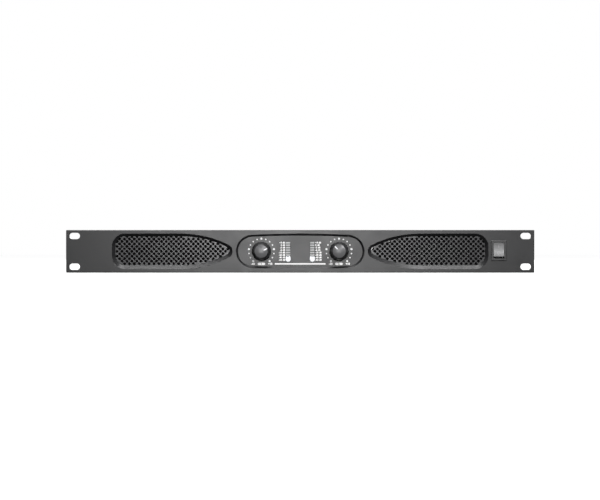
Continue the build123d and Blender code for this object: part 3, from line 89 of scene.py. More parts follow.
class Shader:
    """One Principled material, built node by node."""

    def __init__(self, name, colour, roughness, metallic=0.0, specular=0.5):
        self.material = bpy.data.materials.new(name)
        self.material.use_nodes = True
        self.tree = self.material.node_tree
        self.bsdf = self.tree.nodes["Principled BSDF"]
        self.place = self.new("ShaderNodeTexCoord").outputs["Object"]
        self.colour = colour
        self.normal = None
        self.set("Base Color", (*colour, 1))
        self.set("Roughness", roughness)
        self.set("Metallic", metallic)
        self.set("Specular IOR Level", specular)

    def new(self, kind, **settings):
        node = self.tree.nodes.new(kind)
        for key, value in settings.items():
            setattr(node, key, value)
        return node

    def join(self, source, target):
        self.tree.links.new(source, target)

    def set(self, socket, value):
        self.bsdf.inputs[socket].default_value = value

    def noise(self, scale, detail=4.0, place=None):
        node = self.new("ShaderNodeTexNoise")
        node.inputs["Scale"].default_value = scale
        node.inputs["Detail"].default_value = detail
        node.inputs["Roughness"].default_value = NOISE_ROUGHNESS
        self.join(place or self.place, node.inputs["Vector"])
        return node.outputs["Fac"]

    def math(self, operation, a, b=0.0, clamp=False):
        node = self.new("ShaderNodeMath", operation=operation, use_clamp=clamp)
        for socket, value in zip(node.inputs, (a, b)):
            if isinstance(value, (int, float)):
                socket.default_value = value
            else:
                self.join(value, socket)
        return node.outputs[0]

    def span(self, value, low, high, to_low, to_high):
        """Maps a value's range onto another one, clamped at both ends."""
        node = self.new("ShaderNodeMapRange")
        self.join(value, node.inputs["Value"])
        for key, number in (("From Min", low), ("From Max", high), ("To Min", to_low), ("To Max", to_high)):
            node.inputs[key].default_value = number
        return node.outputs["Result"]

    def blend(self, factor, first, second):
        node = self.new("ShaderNodeMix", data_type="RGBA")
        self.join(factor, node.inputs["Factor"])
        for socket, value in ((node.inputs["A"], first), (node.inputs["B"], second)):
            if isinstance(value, tuple):
                socket.default_value = (*value, 1)
            else:
                self.join(value, socket)
        return node.outputs["Result"]

    def axis(self, letter):
        node = self.new("ShaderNodeSeparateXYZ")
        self.join(self.place, node.inputs[0])
        return node.outputs[letter]

    def distance(self, x, z):
        """How far each point is from an axis that runs front to back."""
        east = self.math("SUBTRACT", self.axis("X"), x)
        up = self.math("SUBTRACT", self.axis("Z"), z)
        squares = self.math("ADD", self.math("MULTIPLY", east, east), self.math("MULTIPLY", up, up))
        return self.math("SQRT", squares)

    def stretch(self, x, y, z):
        node = self.new("ShaderNodeMapping")
        node.inputs["Scale"].default_value = (x, y, z)
        self.join(self.place, node.inputs["Vector"])
        return node.outputs["Vector"]

    def shade(self, low, high, scale=25.0):
        """Slow variation of the colour between two multiples of it."""
        spread = self.noise(scale, 6.0)
        dark = tuple(c * low for c in self.colour)
        light = tuple(min(1.0, c * high) for c in self.colour)
        self.paint(self.blend(self.span(spread, NOISE_LOW, NOISE_HIGH, 0, 1), dark, light))

    def paint(self, colour):
        self.colour_link = colour
        self.join(colour, self.bsdf.inputs["Base Color"])

    def rough(self, low, high, scale=60.0, detail=5.0, place=None):
        """Varies the roughness between two values."""
        spread = self.span(self.noise(scale, detail, place), NOISE_LOW, NOISE_HIGH, low, high)
        self.join(spread, self.bsdf.inputs["Roughness"])

    def bump(self, height, distance, strength=1.0):
        node = self.new("ShaderNodeBump")
        node.inputs["Distance"].default_value = distance
        node.inputs["Strength"].default_value = strength
        self.join(height, node.inputs["Height"])
        if self.normal is not None:
            self.join(self.normal, node.inputs["Normal"])
        self.normal = node.outputs["Normal"]
        self.join(self.normal, self.bsdf.inputs["Normal"])

    def soften(self, radius):
        """Rounds the edges' shading over a small radius."""
        node = self.new("ShaderNodeBevel", samples=BEVEL_SAMPLES)
        node.inputs["Radius"].default_value = radius
        self.normal = node.outputs["Normal"]
        self.join(self.normal, self.bsdf.inputs["Normal"])

    def wear(self, colour, radius, amount=0.5, scale=180.0):
        """Rubs the sharp edges towards a lighter colour, in patches."""
        bevel = self.new("ShaderNodeBevel", samples=BEVEL_SAMPLES)
        bevel.inputs["Radius"].default_value = radius
        flat = self.new("ShaderNodeNewGeometry")
        turn = self.new("ShaderNodeVectorMath", operation="DOT_PRODUCT")
        self.join(bevel.outputs["Normal"], turn.inputs[0])
        self.join(flat.outputs["Normal"], turn.inputs[1])
        edge = self.span(turn.outputs["Value"], 0.985, 0.85, 0, 1)
        patch = self.span(self.noise(scale, 6.0), 0.42, 0.62, 0, amount)
        self.paint(self.blend(self.math("MULTIPLY", edge, patch, clamp=True), self.colour_link, colour))

    def paint_crevice_shade(self, distance, amount, colour=(0.004, 0.004, 0.004)):
        """Darkens corners and crevices with painted shade, taken from an ambient occlusion mask."""
        node = self.new("ShaderNodeAmbientOcclusion", samples=OCCLUSION_SAMPLES)
        node.inputs["Distance"].default_value = distance
        crevice_shade = self.span(node.outputs["AO"], 0.55, 1.0, amount, 0.0)
        self.paint(self.blend(crevice_shade, self.colour_link, colour))


def coat(name, colour, roughness, grain=1400.0, height=0.00003, edge=0.0003, rub=0.15, spread=0.03):
    """Powder coat or moulded skin: fine grain, slow variation, softened and lightly rubbed edges."""
    s = Shader(name, colour, roughness)
    s.shade(0.92, 1.08)
    s.wear((0.3, 0.3, 0.3), edge, rub)
    s.rough(roughness - spread, roughness + spread)
    s.soften(edge)
    s.bump(s.noise(grain, 3.0), height, 0.6)
    return s


def metal(name, colour, roughness, along=None):
    """Metal with fine scratches, drawn out along one axis if it has one."""
    s = Shader(name, colour, roughness, metallic=1.0)
    grain = 900.0
    place = s.stretch(*along) if along else s.place
    s.shade(0.85, 1.1, 120.0)
    s.rough(roughness - 0.08, roughness + 0.1, grain, 4.0, place)
    s.soften(0.00015)
    s.bump(s.noise(grain, 4.0, place), 0.00001, 0.5)
    return s


def printing(name, colour, roughness, low, high, scale):
    """Printed ink: slow variation and a fine grain."""
    s = Shader(name, colour, roughness)
    s.shade(low, high, scale)
    s.bump(s.noise(2500.0, 3.0), 0.00001, 0.5)
    return s


def dress(shader, *names):
    """Gives one material to CAD nodes, or to pieces made here."""
    for name in names:
        piece = nodes[name] if isinstance(name, str) else name
        piece.data.materials.clear()
        piece.data.materials.append(shader.material)


# ---------------------------------------------------------------- pieces made here
def piece_from(name, parts, body, shader):
    """Joins meshes that are already in place into one piece that rides on a body."""
    joined = bmesh.new()
    for mesh in parts:
        joined.from_mesh(mesh)
        bpy.data.meshes.remove(mesh)
    data = bpy.data.meshes.new(name)
    joined.to_mesh(data)
    joined.free()
    piece = bpy.data.objects.new(name, data)
    bpy.context.scene.collection.objects.link(piece)
    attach(piece, body)
    dress(shader, piece)
    return piece


FRONT = Matrix(((1, 0, 0, 0), (0, 0, -1, 0), (0, 1, 0, 0), (0, 0, 0, 1)))
REAR = Matrix(((-1, 0, 0, 0), (0, 0, 1, 0), (0, 1, 0, 0), (0, 0, 0, 1)))
INK = 0.03 * MM  # how far printing stands off its surface


def mesh_from(shape, name, place):
    """A mesh from a finished shape, moved into place."""
    bmesh.ops.recalc_face_normals(shape, faces=shape.faces)
    mesh = bpy.data.meshes.new(name)
    shape.to_mesh(mesh)
    shape.free()
    mesh.transform(place)
    return mesh


def circle(radius, sides):
    """The corners of a circle drawn with straight sides."""
    turns = [2 * math.pi * i / sides for i in range(sides)]
    return [(radius * math.cos(t), radius * math.sin(t)) for t in turns]


def strip(shape, first, second):
    """Faces between two rings with as many corners each."""
    for i in range(len(first)):
        j = (i + 1) % len(first)
        shape.faces.new((first[i], first[j], second[j], second[i]))


def words(text, size, place, facing=FRONT, bold=0.0, align="CENTER"):
    """Printed characters as a thin mesh, centred on a place."""
    curve = bpy.data.curves.new("ink", "FONT")
    curve.body = text
    curve.size = size
    curve.extrude = INK
    curve.offset = bold
    curve.resolution_u = 3
    curve.align_x = align
    curve.align_y = "CENTER"
    holder = bpy.data.objects.new("ink", curve)
    bpy.context.scene.collection.objects.link(holder)
    bpy.context.view_layer.update()
    settled = holder.evaluated_get(bpy.context.evaluated_depsgraph_get())
    mesh = bpy.data.meshes.new_from_object(settled)
    bpy.data.objects.remove(holder)
    bpy.data.curves.remove(curve)
    mesh.transform(Matrix.Translation(place) @ facing)
    return mesh


def patch(corners, place, facing=FRONT):
    """A thin printed shape from its outline's corners."""
    shape = bmesh.new()
    ring = [shape.verts.new((x, y, INK)) for x, y in corners]
    face = shape.faces.new(ring)
    made = bmesh.ops.extrude_face_region(shape, geom=[face])
    for vert in (g for g in made["geom"] if isinstance(g, bmesh.types.BMVert)):
        vert.co.z -= 2 * INK
    return mesh_from(shape, "ink", Matrix.Translation(place) @ facing)


def dot(radius, place):
    """A printed dot."""
    return patch(circle(radius, 20), place)


def bar(width, height, place, facing=FRONT, corner=0.15 * MM):
    """A printed bar with its corners cut."""
    w, h = width / 2, height / 2
    c = min(corner, w, h)
    lower = [(-w + c, -h), (w - c, -h), (w, -h + c)]
    upper = [(w, h - c), (w - c, h), (-w + c, h), (-w, h - c), (-w, -h + c)]
    return patch(lower + upper, place, facing)


# ---------------------------------------------------------------- camera, light and floor
PICTURE_WIDTH = 618.2 * MM  # what the picture takes in across, at the panel's face
LENS = 100.0
SENSOR = 36.0
AIM_X, AIM_Z = -0.2 * MM, 1.4 * MM  # from the panel's middle to the middle of the picture
camera_data = bpy.data.cameras.new("camera")
camera_data.lens = LENS
camera_data.sensor_width = SENSOR
camera_data.clip_start = 0.05
camera_data.clip_end = 50.0
camera = bpy.data.objects.new("camera", camera_data)
bpy.context.scene.collection.objects.link(camera)
bpy.context.scene.camera = camera
standoff = PICTURE_WIDTH * LENS / SENSOR
camera.location = (panel_mid.x + AIM_X, panel_low.y - standoff, panel_mid.z + AIM_Z)
camera.rotation_euler = (math.radians(90), 0, 0)


def area(name, place, target, width, height, power):
    """A white rectangular light, aimed at a point."""
    light = bpy.data.lights.new(name, "AREA")
    light.shape = "RECTANGLE"
    light.size = width
    light.size_y = height
    light.energy = power
    holder = bpy.data.objects.new(name, light)
    bpy.context.scene.collection.objects.link(holder)
    holder.location = place
    holder.rotation_euler = (Vector(target) - Vector(place)).to_track_quat("-Z", "Y").to_euler()


front_spot = (panel_mid.x, panel_low.y, panel_mid.z)
area("near_soft", (-0.03, -1.95, 0.22), front_spot, 0.3, 0.22, 10)
area("overhead_soft", (-0.1, -0.42, 1.3), front_spot, 1.1, 0.25, 11)
area("right_key", (0.65, -1.45, 0.75), front_spot, 0.35, 0.35, 12)
area("top_soft", (0.0, 0.5, 1.8), (0, 0, 0), 1.8, 1.0, 16)
area("back_soft", (0.2, 1.9, 0.9), (0, 0.17, 0.02), 1.4, 0.8, 30)
area("left_rim", (-1.7, 0.3, 0.7), (0, 0, 0.02), 0.8, 0.8, 9)

# grey tones round the object, darkest below the horizon; the camera itself sees plain white
SKY = ((0.48, (0.01, 0.01, 0.01)), (0.53, (0.115, 0.115, 0.117)), (1.0, (0.45, 0.45, 0.46)))
world = bpy.data.worlds.new("studio")
bpy.context.scene.world = world
world.use_nodes = True
sky = world.node_tree
direction = sky.nodes.new("ShaderNodeTexCoord")
split = sky.nodes.new("ShaderNodeSeparateXYZ")
sky.links.new(direction.outputs["Generated"], split.inputs[0])
ramp = sky.nodes.new("ShaderNodeValToRGB")
ramp.color_ramp.elements.new(0.5)
for element, (position, colour) in zip(ramp.color_ramp.elements, SKY):
    element.position = position
    element.color = (*colour, 1)
rise = sky.nodes.new("ShaderNodeMapRange")
rise.inputs["From Min"].default_value = -1.0
sky.links.new(split.outputs["Z"], rise.inputs["Value"])
sky.links.new(rise.outputs["Result"], ramp.inputs["Fac"])
background = sky.nodes["Background"]
background.inputs["Strength"].default_value = 1.0
sky.links.new(ramp.outputs["Color"], background.inputs["Color"])
seen = sky.nodes.new("ShaderNodeBackground")
seen.inputs["Color"].default_value = (1, 1, 1, 1)
path = sky.nodes.new("ShaderNodeLightPath")
choose = sky.nodes.new("ShaderNodeMixShader")
sky.links.new(path.outputs["Is Camera Ray"], choose.inputs["Fac"])
sky.links.new(background.outputs[0], choose.inputs[1])
sky.links.new(seen.outputs[0], choose.inputs[2])
sky.links.new(choose.outputs[0], sky.nodes["World Output"].inputs["Surface"])
bpy.context.scene.view_settings.view_transform = "Standard"

FLOOR_REACH = 6.0
FLOOR_DROP = 0.05 * MM
floor_data = bpy.data.meshes.new("floor")
floor_corners = [(x * FLOOR_REACH, y * FLOOR_REACH, 0) for x, y in ((-1, -1), (1, -1), (1, 1), (-1, 1))]
floor_data.from_pydata(floor_corners, [], [(0, 1, 2, 3)])
floor = bpy.data.objects.new("floor", floor_data)
bpy.context.scene.collection.objects.link(floor)
floor.location.z = cad_box[0][2] - FLOOR_DROP
floor.visible_diffuse = False
floor.visible_glossy = False
floor_paint = Shader("floor_paint", (0.35, 0.35, 0.35), 0.9, specular=0.0)
floor_paint.shade(0.97, 1.03, 2.0)
floor_paint.set("Emission Color", (1, 1, 1, 1))
floor_paint.set("Emission Strength", 0.86)
floor.data.materials.append(floor_paint.material)

# ---------------------------------------------------------------- painted metal
panel_coat = coat("panel_coat", (0.017, 0.017, 0.018), 0.34, 1500.0, 0.00002)
# painted shade in the panel's recesses, corners and bevels
panel_coat.paint_crevice_shade(0.004, 0.4)
mesh_coat = coat("mesh_coat", (0.055, 0.055, 0.057), 0.24, 1500.0, 0.00001, edge=0.0005, rub=0.0)
case_coat = coat("case_coat", (0.022, 0.022, 0.023), 0.62, 900.0, 0.00005, spread=0.015)
case_coat.set("Specular IOR Level", 0.3)
die_cast = coat("die_cast", (0.045, 0.045, 0.047), 0.34, 1100.0, 0.00003, rub=0.4)
dress(panel_coat, "front_panel", "control_plate")
dress(mesh_coat, "grille_left", "grille_right")
dress(case_coat, "chassis_tray", "rear_panel", "top_cover")
dress(die_cast, "input_sockets", "link_sockets")


# ---------------------------------------------------------------- plastics and rubber
def plastic(name, colour, roughness, grain=2200.0, height=0.000015):
    """Moulded plastic: fine grain, slow variation, edges rubbed a little lighter."""
    s = Shader(name, colour, roughness)
    s.shade(0.9, 1.1, 60.0)
    s.wear(tuple(min(1.0, c * 2.2 + 0.02) for c in colour), 0.0002, 0.4, 300.0)
    s.rough(roughness - 0.06, roughness + 0.06, 150.0)
    s.soften(0.0002)
    s.bump(s.noise(grain, 3.0), height, 0.6)
    return s


socket_plastic = plastic("socket_plastic", (0.018, 0.018, 0.019), 0.42)
dress(socket_plastic, "input_inserts", "breaker_body", "slide_switch_bodies")
dress(plastic("fan_plastic", (0.015, 0.015, 0.016), 0.4), "fan_frames", "fan_rotor_a", "fan_rotor_b")
dress(plastic("speaker_plastic", (0.018, 0.030, 0.070), 0.36), "speaker_sockets", "speaker_cores")
dress(plastic("latch_plastic", (0.05, 0.05, 0.052), 0.35), "latch_tab_a", "latch_tab_b")
dress(plastic("inlet_plastic", (0.016, 0.016, 0.017), 0.3), "mains_inlet")
dress(plastic("switch_black", (0.05, 0.05, 0.051), 0.3), "switch_housing")
dress(plastic("button_red", (0.42, 0.03, 0.025), 0.3), "breaker_button")
dress(plastic("button_white", (0.62, 0.62, 0.60), 0.35), "mode_slider", "ground_slider")
dress(plastic("package_black", (0.02, 0.02, 0.021), 0.55), "power_transistors")
dress(plastic("capacitor_sleeve", (0.02, 0.02, 0.04), 0.25), "bulk_capacitors")
dress(plastic("film_red", (0.35, 0.05, 0.03), 0.25), "film_capacitors")
dress(plastic("tape_yellow", (0.62, 0.44, 0.06), 0.4), "transformer_winding")
dress(plastic("wire_black", (0.02, 0.02, 0.02), 0.45), "mains_leads")
dress(plastic("wire_red", (0.42, 0.03, 0.02), 0.4), "speaker_leads")
dress(plastic("rubber_black", (0.016, 0.016, 0.016), 0.75, 1500.0, 0.00004), "feet")
dress(plastic("rocker_plastic", (0.18, 0.18, 0.183), 0.32), "power_rocker")

ferrite = Shader("ferrite", (0.05, 0.05, 0.053), 0.6)
ferrite.shade(0.8, 1.2, 200.0)
ferrite.bump(ferrite.noise(1200.0, 5.0), 0.00004, 0.7)
dress(ferrite, "transformer_core")

STRAND_PITCH = 1.27 * MM
ribbon = Shader("ribbon", (0.42, 0.42, 0.43), 0.5)
strand = ribbon.math("SINE", ribbon.math("MULTIPLY", ribbon.axis("X"), 2 * math.pi / STRAND_PITCH))
# the darker half of each strand's wave is painted shade in the grooves between strands
ribbon.paint(ribbon.blend(ribbon.span(strand, -1, 0, 0, 1), (0.2, 0.2, 0.21), (0.45, 0.45, 0.46)))
ribbon.bump(strand, 0.0002, 0.8)
dress(ribbon, "ribbon_cable")

# ---------------------------------------------------------------- metals
zinc_steel = metal("zinc_steel", (0.62, 0.61, 0.58), 0.36)
dress(zinc_steel, "panel_fixings", "board_screws", "standoffs", "potentiometers", "pot_nuts")
dress(metal("black_screw", (0.05, 0.05, 0.05), 0.42), "case_screws", "rear_screws")
dress(metal("shaft_steel", (0.6, 0.6, 0.6), 0.3, (1, 0.05, 1)), "knob_shaft_a", "knob_shaft_b")
dress(metal("tinned_brass", (0.72, 0.68, 0.55), 0.32), "switch_terminals", "inlet_blades")
dress(metal("gold_pin", (0.83, 0.62, 0.28), 0.25), "link_pins")
dress(metal("extruded_aluminium", (0.72, 0.72, 0.73), 0.38, (1, 0.03, 1)), "heatsinks")
dress(metal("guard_wire", (0.62, 0.61, 0.59), 0.22), "fan_guards")

TURNS = 34

def winding(name, node, centres):
    """Enamelled copper wound round one ring or two side by side, with a ridge for each turn and painted
    shade in the gaps between turns.
    """
    s = Shader(name, (0.60, 0.23, 0.08), 0.3, metallic=1.0)
    east, north = s.axis("X"), s.axis("Y")
    first, last = centres[0], centres[-1]
    centre_x = first.x
    if len(centres) > 1:
        side = s.math("GREATER_THAN", east, (first.x + last.x) / 2)
        centre_x = s.math("ADD", s.math("MULTIPLY", side, last.x - first.x), first.x)
    angle = s.math("ARCTAN2", s.math("SUBTRACT", north, first.y), s.math("SUBTRACT", east, centre_x))
    ridge = s.math("ABSOLUTE", s.math("SINE", s.math("MULTIPLY", angle, TURNS / 2)))
    # the dark copper in the gaps between turns is painted shade
    s.paint(s.blend(s.span(ridge, 0.0, 0.5, 0, 1), (0.12, 0.04, 0.015), (0.62, 0.25, 0.09)))
    s.bump(ridge, 0.0005, 1.0)
    dress(s, node)


choke = middle("filter_choke")
coils_low, coils_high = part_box("output_inductors")
coil_radius = (coils_high.y - coils_low.y) / 2
coil_y = coils_low.y + coil_radius
coils = [Vector((coils_low.x + coil_radius, coil_y, 0)), Vector((coils_high.x - coil_radius, coil_y, 0))]
winding("choke_wire", "filter_choke", [choke])
winding("coil_wire", "output_inductors", coils)


def board(name, *names):
    """Solder-masked board: green over fine copper tracks, with bare solder specks."""
    s = Shader(name, (0.02, 0.11, 0.05), 0.3)
    cells = s.new("ShaderNodeTexVoronoi", feature="DISTANCE_TO_EDGE", distance="CHEBYCHEV")
    cells.inputs["Scale"].default_value = 260.0
    s.join(s.place, cells.inputs["Vector"])
    track = s.span(cells.outputs["Distance"], 0.04, 0.09, 1, 0)
    copper = s.blend(track, (0.012, 0.08, 0.035), (0.04, 0.20, 0.08))
    specks = s.new("ShaderNodeTexVoronoi")
    specks.inputs["Scale"].default_value = 330.0
    s.join(s.place, specks.inputs["Vector"])
    s.paint(s.blend(s.span(specks.outputs["Distance"], 0.12, 0.09, 0, 1), copper, (0.5, 0.5, 0.47)))
    s.bump(track, 0.00005, 0.8)
    dress(s, *names)


board("board_green", "psu_board", "amp_board", "input_board", "control_board")

# ---------------------------------------------------------------- knobs: dark fluted body, satin domed face
FACE_RADIUS = 6.8 * MM
FACE_EDGE = 0.2 * MM
RING_PITCH = 0.28 * MM  # the fine turned rings of the face
DOME = 1.25 * MM


def knob(name, node, centre):
    """Dark moulding with a lighter, finely turned face."""
    s = Shader(name, (0.010, 0.010, 0.011), 0.38)
    radius = s.distance(centre.x, centre.z)
    inside = s.span(radius, FACE_RADIUS - FACE_EDGE, FACE_RADIUS, 1, 0)
    on_face = s.math("MULTIPLY", s.math("LESS_THAN", s.axis("Y"), knob_tip + DOME), inside)
    s.shade(0.9, 1.1, 80.0)
    s.paint(s.blend(on_face, s.colour_link, (0.14, 0.14, 0.144)))
    s.wear((0.08, 0.08, 0.08), 0.0003, 0.3, 260.0)
    s.join(s.span(on_face, 0, 1, 0.5, 0.28), s.bsdf.inputs["Roughness"])
    s.soften(0.0003)
    rings = s.math("SINE", s.math("MULTIPLY", radius, 2 * math.pi / RING_PITCH))
    s.bump(s.math("MULTIPLY", rings, on_face), 0.00001, 0.5)
    s.bump(s.noise(1800.0, 3.0), 0.00002, 0.5)
    dress(s, node)


knob("knob_skin_a", "knob_a", dial_a)
knob("knob_skin_b", "knob_b", dial_b)

ink = printing("white_ink_painted_glow", (0.80, 0.80, 0.79), 0.5, 0.93, 1.05, 300.0)
# painted glow: the white print is given a faint emission, though it is no lamp
ink.set("Emission Color", (1, 1, 1, 1))
ink.set("Emission Strength", 0.3)
dress(ink, "knob_pointer_a", "knob_pointer_b")
dark_ink = printing("dark_ink", (0.02, 0.02, 0.021), 0.5, 0.9, 1.1, 300.0)

# ---------------------------------------------------------------- indicators: pale bars, the lowest ones lit
led_pitch = 2.54 * MM
GLOW_DEPTH = 1.0 * MM  # only what stands in front of this depth behind the plate's face glows
LIT_ROWS = 1.75  # how many pitches up from the lowest bar's foot are lit
lens = Shader("lens", (0.42, 0.43, 0.43), 0.3)
proud = lens.math("LESS_THAN", lens.axis("Y"), plate_front + GLOW_DEPTH)
lowest = lens.math("LESS_THAN", lens.axis("Z"), led_low.z + LIT_ROWS * led_pitch)
glow = lens.math("MULTIPLY", lowest, proud)
lens.shade(0.9, 1.08, 400.0)
lens.paint(lens.blend(glow, lens.colour_link, (0.95, 0.97, 1.0)))
lens.bump(lens.noise(1500.0, 2.0), 0.00002, 0.6)
lens.set("Emission Color", (0.92, 0.96, 1.0, 1))
lens.join(lens.math("MULTIPLY", glow, 2.0), lens.bsdf.inputs["Emission Strength"])
dress(lens, "indicator_leds")


def turned(profile, centre):
    """A lens turned about an axis that points forwards, from (radius, distance in front) pairs."""
    shape = bmesh.new()
    rings = []
    for radius, front in profile:
        rings.append([shape.verts.new((x, -front, z)) for x, z in circle(radius, 40)])
    for inner, outer in zip(rings, rings[1:]):
        strip(shape, inner, outer)
    shape.faces.new(rings[0])
    shape.faces.new(list(reversed(rings[-1])))
    for face in shape.faces:
        face.smooth = True
    return mesh_from(shape, "lens", Matrix.Translation(centre))


LENS_RADIUS = 2.75 * MM
LENS_REACH = 1.5 * MM
LENS_BACK, LENS_EDGE = 0.15 * MM, 0.5 * MM  # the rim, measured forwards from the plate's face
DOME_RADIUS = 0.94 * LENS_RADIUS
LENS_INSET = 2.15 * MM  # from the outer side of a column to the lens's middle
signal_z = led_low.z + 1.5 * MM
for name, x in (("signal_lens_a", led_low.x + LENS_INSET), ("signal_lens_b", led_high.x - LENS_INSET)):
    lit = Shader(name, (0.55, 0.56, 0.58), 0.3)
    off = lit.distance(x, signal_z)
    lit.shade(0.95, 1.05, 500.0)
    lit.bump(lit.noise(2000.0, 2.0), 0.00002, 0.5)
    lit.set("Emission Color", (0.93, 0.96, 1.0, 1))
    lit.join(lit.span(off, 0.35 * LENS_RADIUS, LENS_RADIUS, 1.1, 0.22), lit.bsdf.inputs["Emission Strength"])
    profile = [(LENS_RADIUS, LENS_BACK), (LENS_RADIUS, LENS_EDGE)]
    for degrees in range(0, 90, 10):
        t = math.radians(degrees)
        profile.append((DOME_RADIUS * math.cos(t), LENS_EDGE + (LENS_REACH - LENS_EDGE) * math.sin(t)))
    piece_from(name, [turned(profile, Vector((x, plate_front, signal_z)))], "chassis", lit)

# ---------------------------------------------------------------- printing on the control plate
RING_RADIUS = 13.1 * MM
DOT_STEP = 20  # degrees
BIG_DOT, SMALL_DOT = 1.05 * MM, 0.72 * MM
UNDER_DIAL = 12.9 * MM  # from the panel's middle down to the row under the dials
LOW_END, HIGH_END = -8.6 * MM, 9.0 * MM
END_SIZE, END_BOLD = 2.8 * MM, 0.17 * MM
LABEL_SIZE, LABEL_BOLD, LABEL_GAP = 2.45 * MM, 0.11 * MM, 0.9 * MM
BAR_HALF = 0.8 * MM  # half an indicator bar's height
legend = []
for centre in (dial_a, dial_b):
    for step in range(-7, 8):
        turn = math.radians(DOT_STEP * step)
        east, up = RING_RADIUS * math.sin(turn), RING_RADIUS * math.cos(turn)
        place = (centre.x + east, plate_front, centre.z + up)
        legend.append(dot(BIG_DOT if step in (-7, -4, 0, 4, 7) else SMALL_DOT, place))
under = panel_mid.z - UNDER_DIAL
numbers = []
for number, centre in (("1", dial_a), ("2", dial_b)):
    legend.append(words("-60", END_SIZE, (centre.x + LOW_END, plate_front, under), bold=END_BOLD))
    legend.append(words("+10", END_SIZE, (centre.x + HIGH_END, plate_front, under), bold=END_BOLD))
    legend.append(bar(7.8 * MM, 2.5 * MM, (centre.x, plate_front, under), corner=0.9 * MM))
    numbers.append(words(number, 2.5 * MM, (centre.x, plate_front - 2 * INK, under), bold=0.12 * MM))
legend.append(bar(52.4 * MM, 1.35 * MM, (panel_mid.x, plate_front, under)))
levels = ["+3 dB", "0 dB", "-3 dB", "-6 dB", "-10 dB", "-20 dB", "-40 dB", "-60 dB"]
for side, edge_x in ((-1, led_low.x), (1, led_high.x)):
    for row, text in enumerate(levels):
        place = (edge_x + side * LABEL_GAP, plate_front, led_high.z - BAR_HALF - row * led_pitch)
        align = "RIGHT" if side < 0 else "LEFT"
        legend.append(words(text, LABEL_SIZE, place, bold=LABEL_BOLD, align=align))
piece_from("front_legend", legend, "chassis", ink)
piece_from("channel_numbers", numbers, "chassis", dark_ink)

# ---------------------------------------------------------------- marks on the power rocker
# the rocker's own shape, as the part is built: its lean at rest, half its height, its reach from pivot to
# the face's ends, and how deep the face is dished in its middle
ROCKER_TILT = math.radians(10)
ROCKER_HALF = 7.4 * MM
ROCKER_FRONT = 5.6 * MM
ROCKER_DISH = 0.9 * MM
joints = frame["record"]["behaviour"]["joints"]
rock = next(joint for joint in joints if joint["name"] == "power_rock")
pivot = Vector(rock["pos_m"])
outward = Vector((0, -math.cos(ROCKER_TILT), math.sin(ROCKER_TILT)))
upward = Vector((0, math.sin(ROCKER_TILT), math.cos(ROCKER_TILT)))


def on_rocker(height):
    """The place and facing of the dished rocker face at a height over its pivot."""
    reach = ROCKER_FRONT - ROCKER_DISH * (1 - (height / ROCKER_HALF) ** 2)
    place = pivot + upward * height + outward * reach
    rise = (upward + outward * (2 * ROCKER_DISH * height / ROCKER_HALF**2)).normalized()
    across = Vector((1, 0, 0))
    return place, Matrix((across, rise, across.cross(rise))).transposed().to_4x4()


def hoop(radius, width, place, facing):
    """A thin printed ring."""
    shape = bmesh.new()
    rings = []
    for r, z in ((radius, INK), (radius - width, INK), (radius - width, -INK), (radius, -INK)):
        rings.append([shape.verts.new((x, y, z)) for x, y in circle(r, 28)])
    for first, second in zip(rings, rings[1:] + rings[:1]):
        strip(shape, first, second)
    return mesh_from(shape, "ink", Matrix.Translation(place) @ facing)


MARK_HEIGHT = 3.5 * MM  # from the pivot to the middle of each mark
mark_ink = printing("rocker_ink", (0.33, 0.33, 0.33), 0.45, 0.85, 1.1, 900.0)
on_place, on_facing = on_rocker(MARK_HEIGHT)
off_place, off_facing = on_rocker(-MARK_HEIGHT)
marks = [
    bar(0.75 * MM, 3.2 * MM, on_place, on_facing, 0.1 * MM),
    hoop(1.6 * MM, 0.6 * MM, off_place, off_facing),
]
piece_from("rocker_marks", marks, "rocker", mark_ink)

# ---------------------------------------------------------------- printing on the rear panel
TOP_LINE = 18.1 * MM  # from the panel's middle up to the row of numbers
SOCKET_HALF = 13 * MM
OVER_SLIDER = 5.2 * MM
rear_legend = []
for node in ("input_sockets", "link_sockets", "speaker_sockets"):
    low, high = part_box(node)
    for x, number in ((low.x + SOCKET_HALF, "2"), (high.x - SOCKET_HALF, "1")):
        rear_legend.append(words(number, 3.0 * MM, (x, rear_face, panel_mid.z + TOP_LINE), REAR, 0.08 * MM))
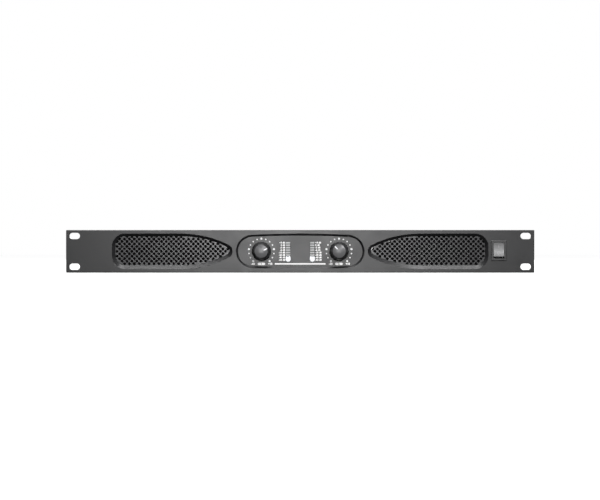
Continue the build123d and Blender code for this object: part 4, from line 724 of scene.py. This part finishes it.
# each slider's positions, measured from where it rests, numbered from the viewer's left
for node, stops in (("mode_slider", (-2.8, 0, 2.8)), ("ground_slider", (0, 5.6))):
    centre = middle(node)
    for index, stop in enumerate(stops):
        place = (centre.x + stop * MM, rear_face, centre.z + OVER_SLIDER)
        rear_legend.append(words(str(len(stops) - index), 2.2 * MM, place, REAR, 0.06 * MM))
piece_from("rear_legend", rear_legend, "chassis", ink)

# ---------------------------------------------------------------- foam pads behind the grilles
FOAM_CELL = 1.2 * MM
FOAM_INSET = 0.3 * MM
FOAM_PORE = 0.35 * MM
PORE_PITCH = 1.7 * MM
foam = Shader("foam", (0.005, 0.005, 0.005), 0.95, specular=0.1)
foam.shade(0.6, 1.6, 500.0)
pores = foam.new("ShaderNodeTexVoronoi")
pores.inputs["Scale"].default_value = 900.0
foam.join(foam.place, pores.inputs["Vector"])
foam.bump(pores.outputs["Distance"], 0.0006, 1.0)


def foam_pad(name, side):
    """One pad of open-cell foam: its cut block remeshed, drawn in a little and pitted."""
    source = nodes["air_filters"]
    mesh = source.data.copy()
    mesh.transform(source.matrix_world)
    shape = bmesh.new()
    shape.from_mesh(mesh)
    far = [vert for vert in shape.verts if vert.co.x * side < 0]
    bmesh.ops.delete(shape, geom=far, context="VERTS")
    shape.to_mesh(mesh)
    shape.free()
    block = bpy.data.objects.new("block", mesh)
    bpy.context.scene.collection.objects.link(block)
    remesh = block.modifiers.new("cells", "REMESH")
    remesh.mode = "VOXEL"
    remesh.voxel_size = FOAM_CELL
    bpy.context.view_layer.update()
    settled = block.evaluated_get(bpy.context.evaluated_depsgraph_get())
    fine = bpy.data.meshes.new_from_object(settled)
    bpy.data.objects.remove(block)
    for vert in fine.vertices:
        pit = 0.5 + 0.5 * noise.noise(vert.co / PORE_PITCH)
        vert.co -= vert.normal * (FOAM_INSET + FOAM_PORE * pit)
    for face in fine.polygons:
        face.use_smooth = True
    pad = piece_from(name, [fine], "chassis", foam)
    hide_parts("air_filters")


foam_pad("foam_pad_left", -1)
foam_pad("foam_pad_right", 1)
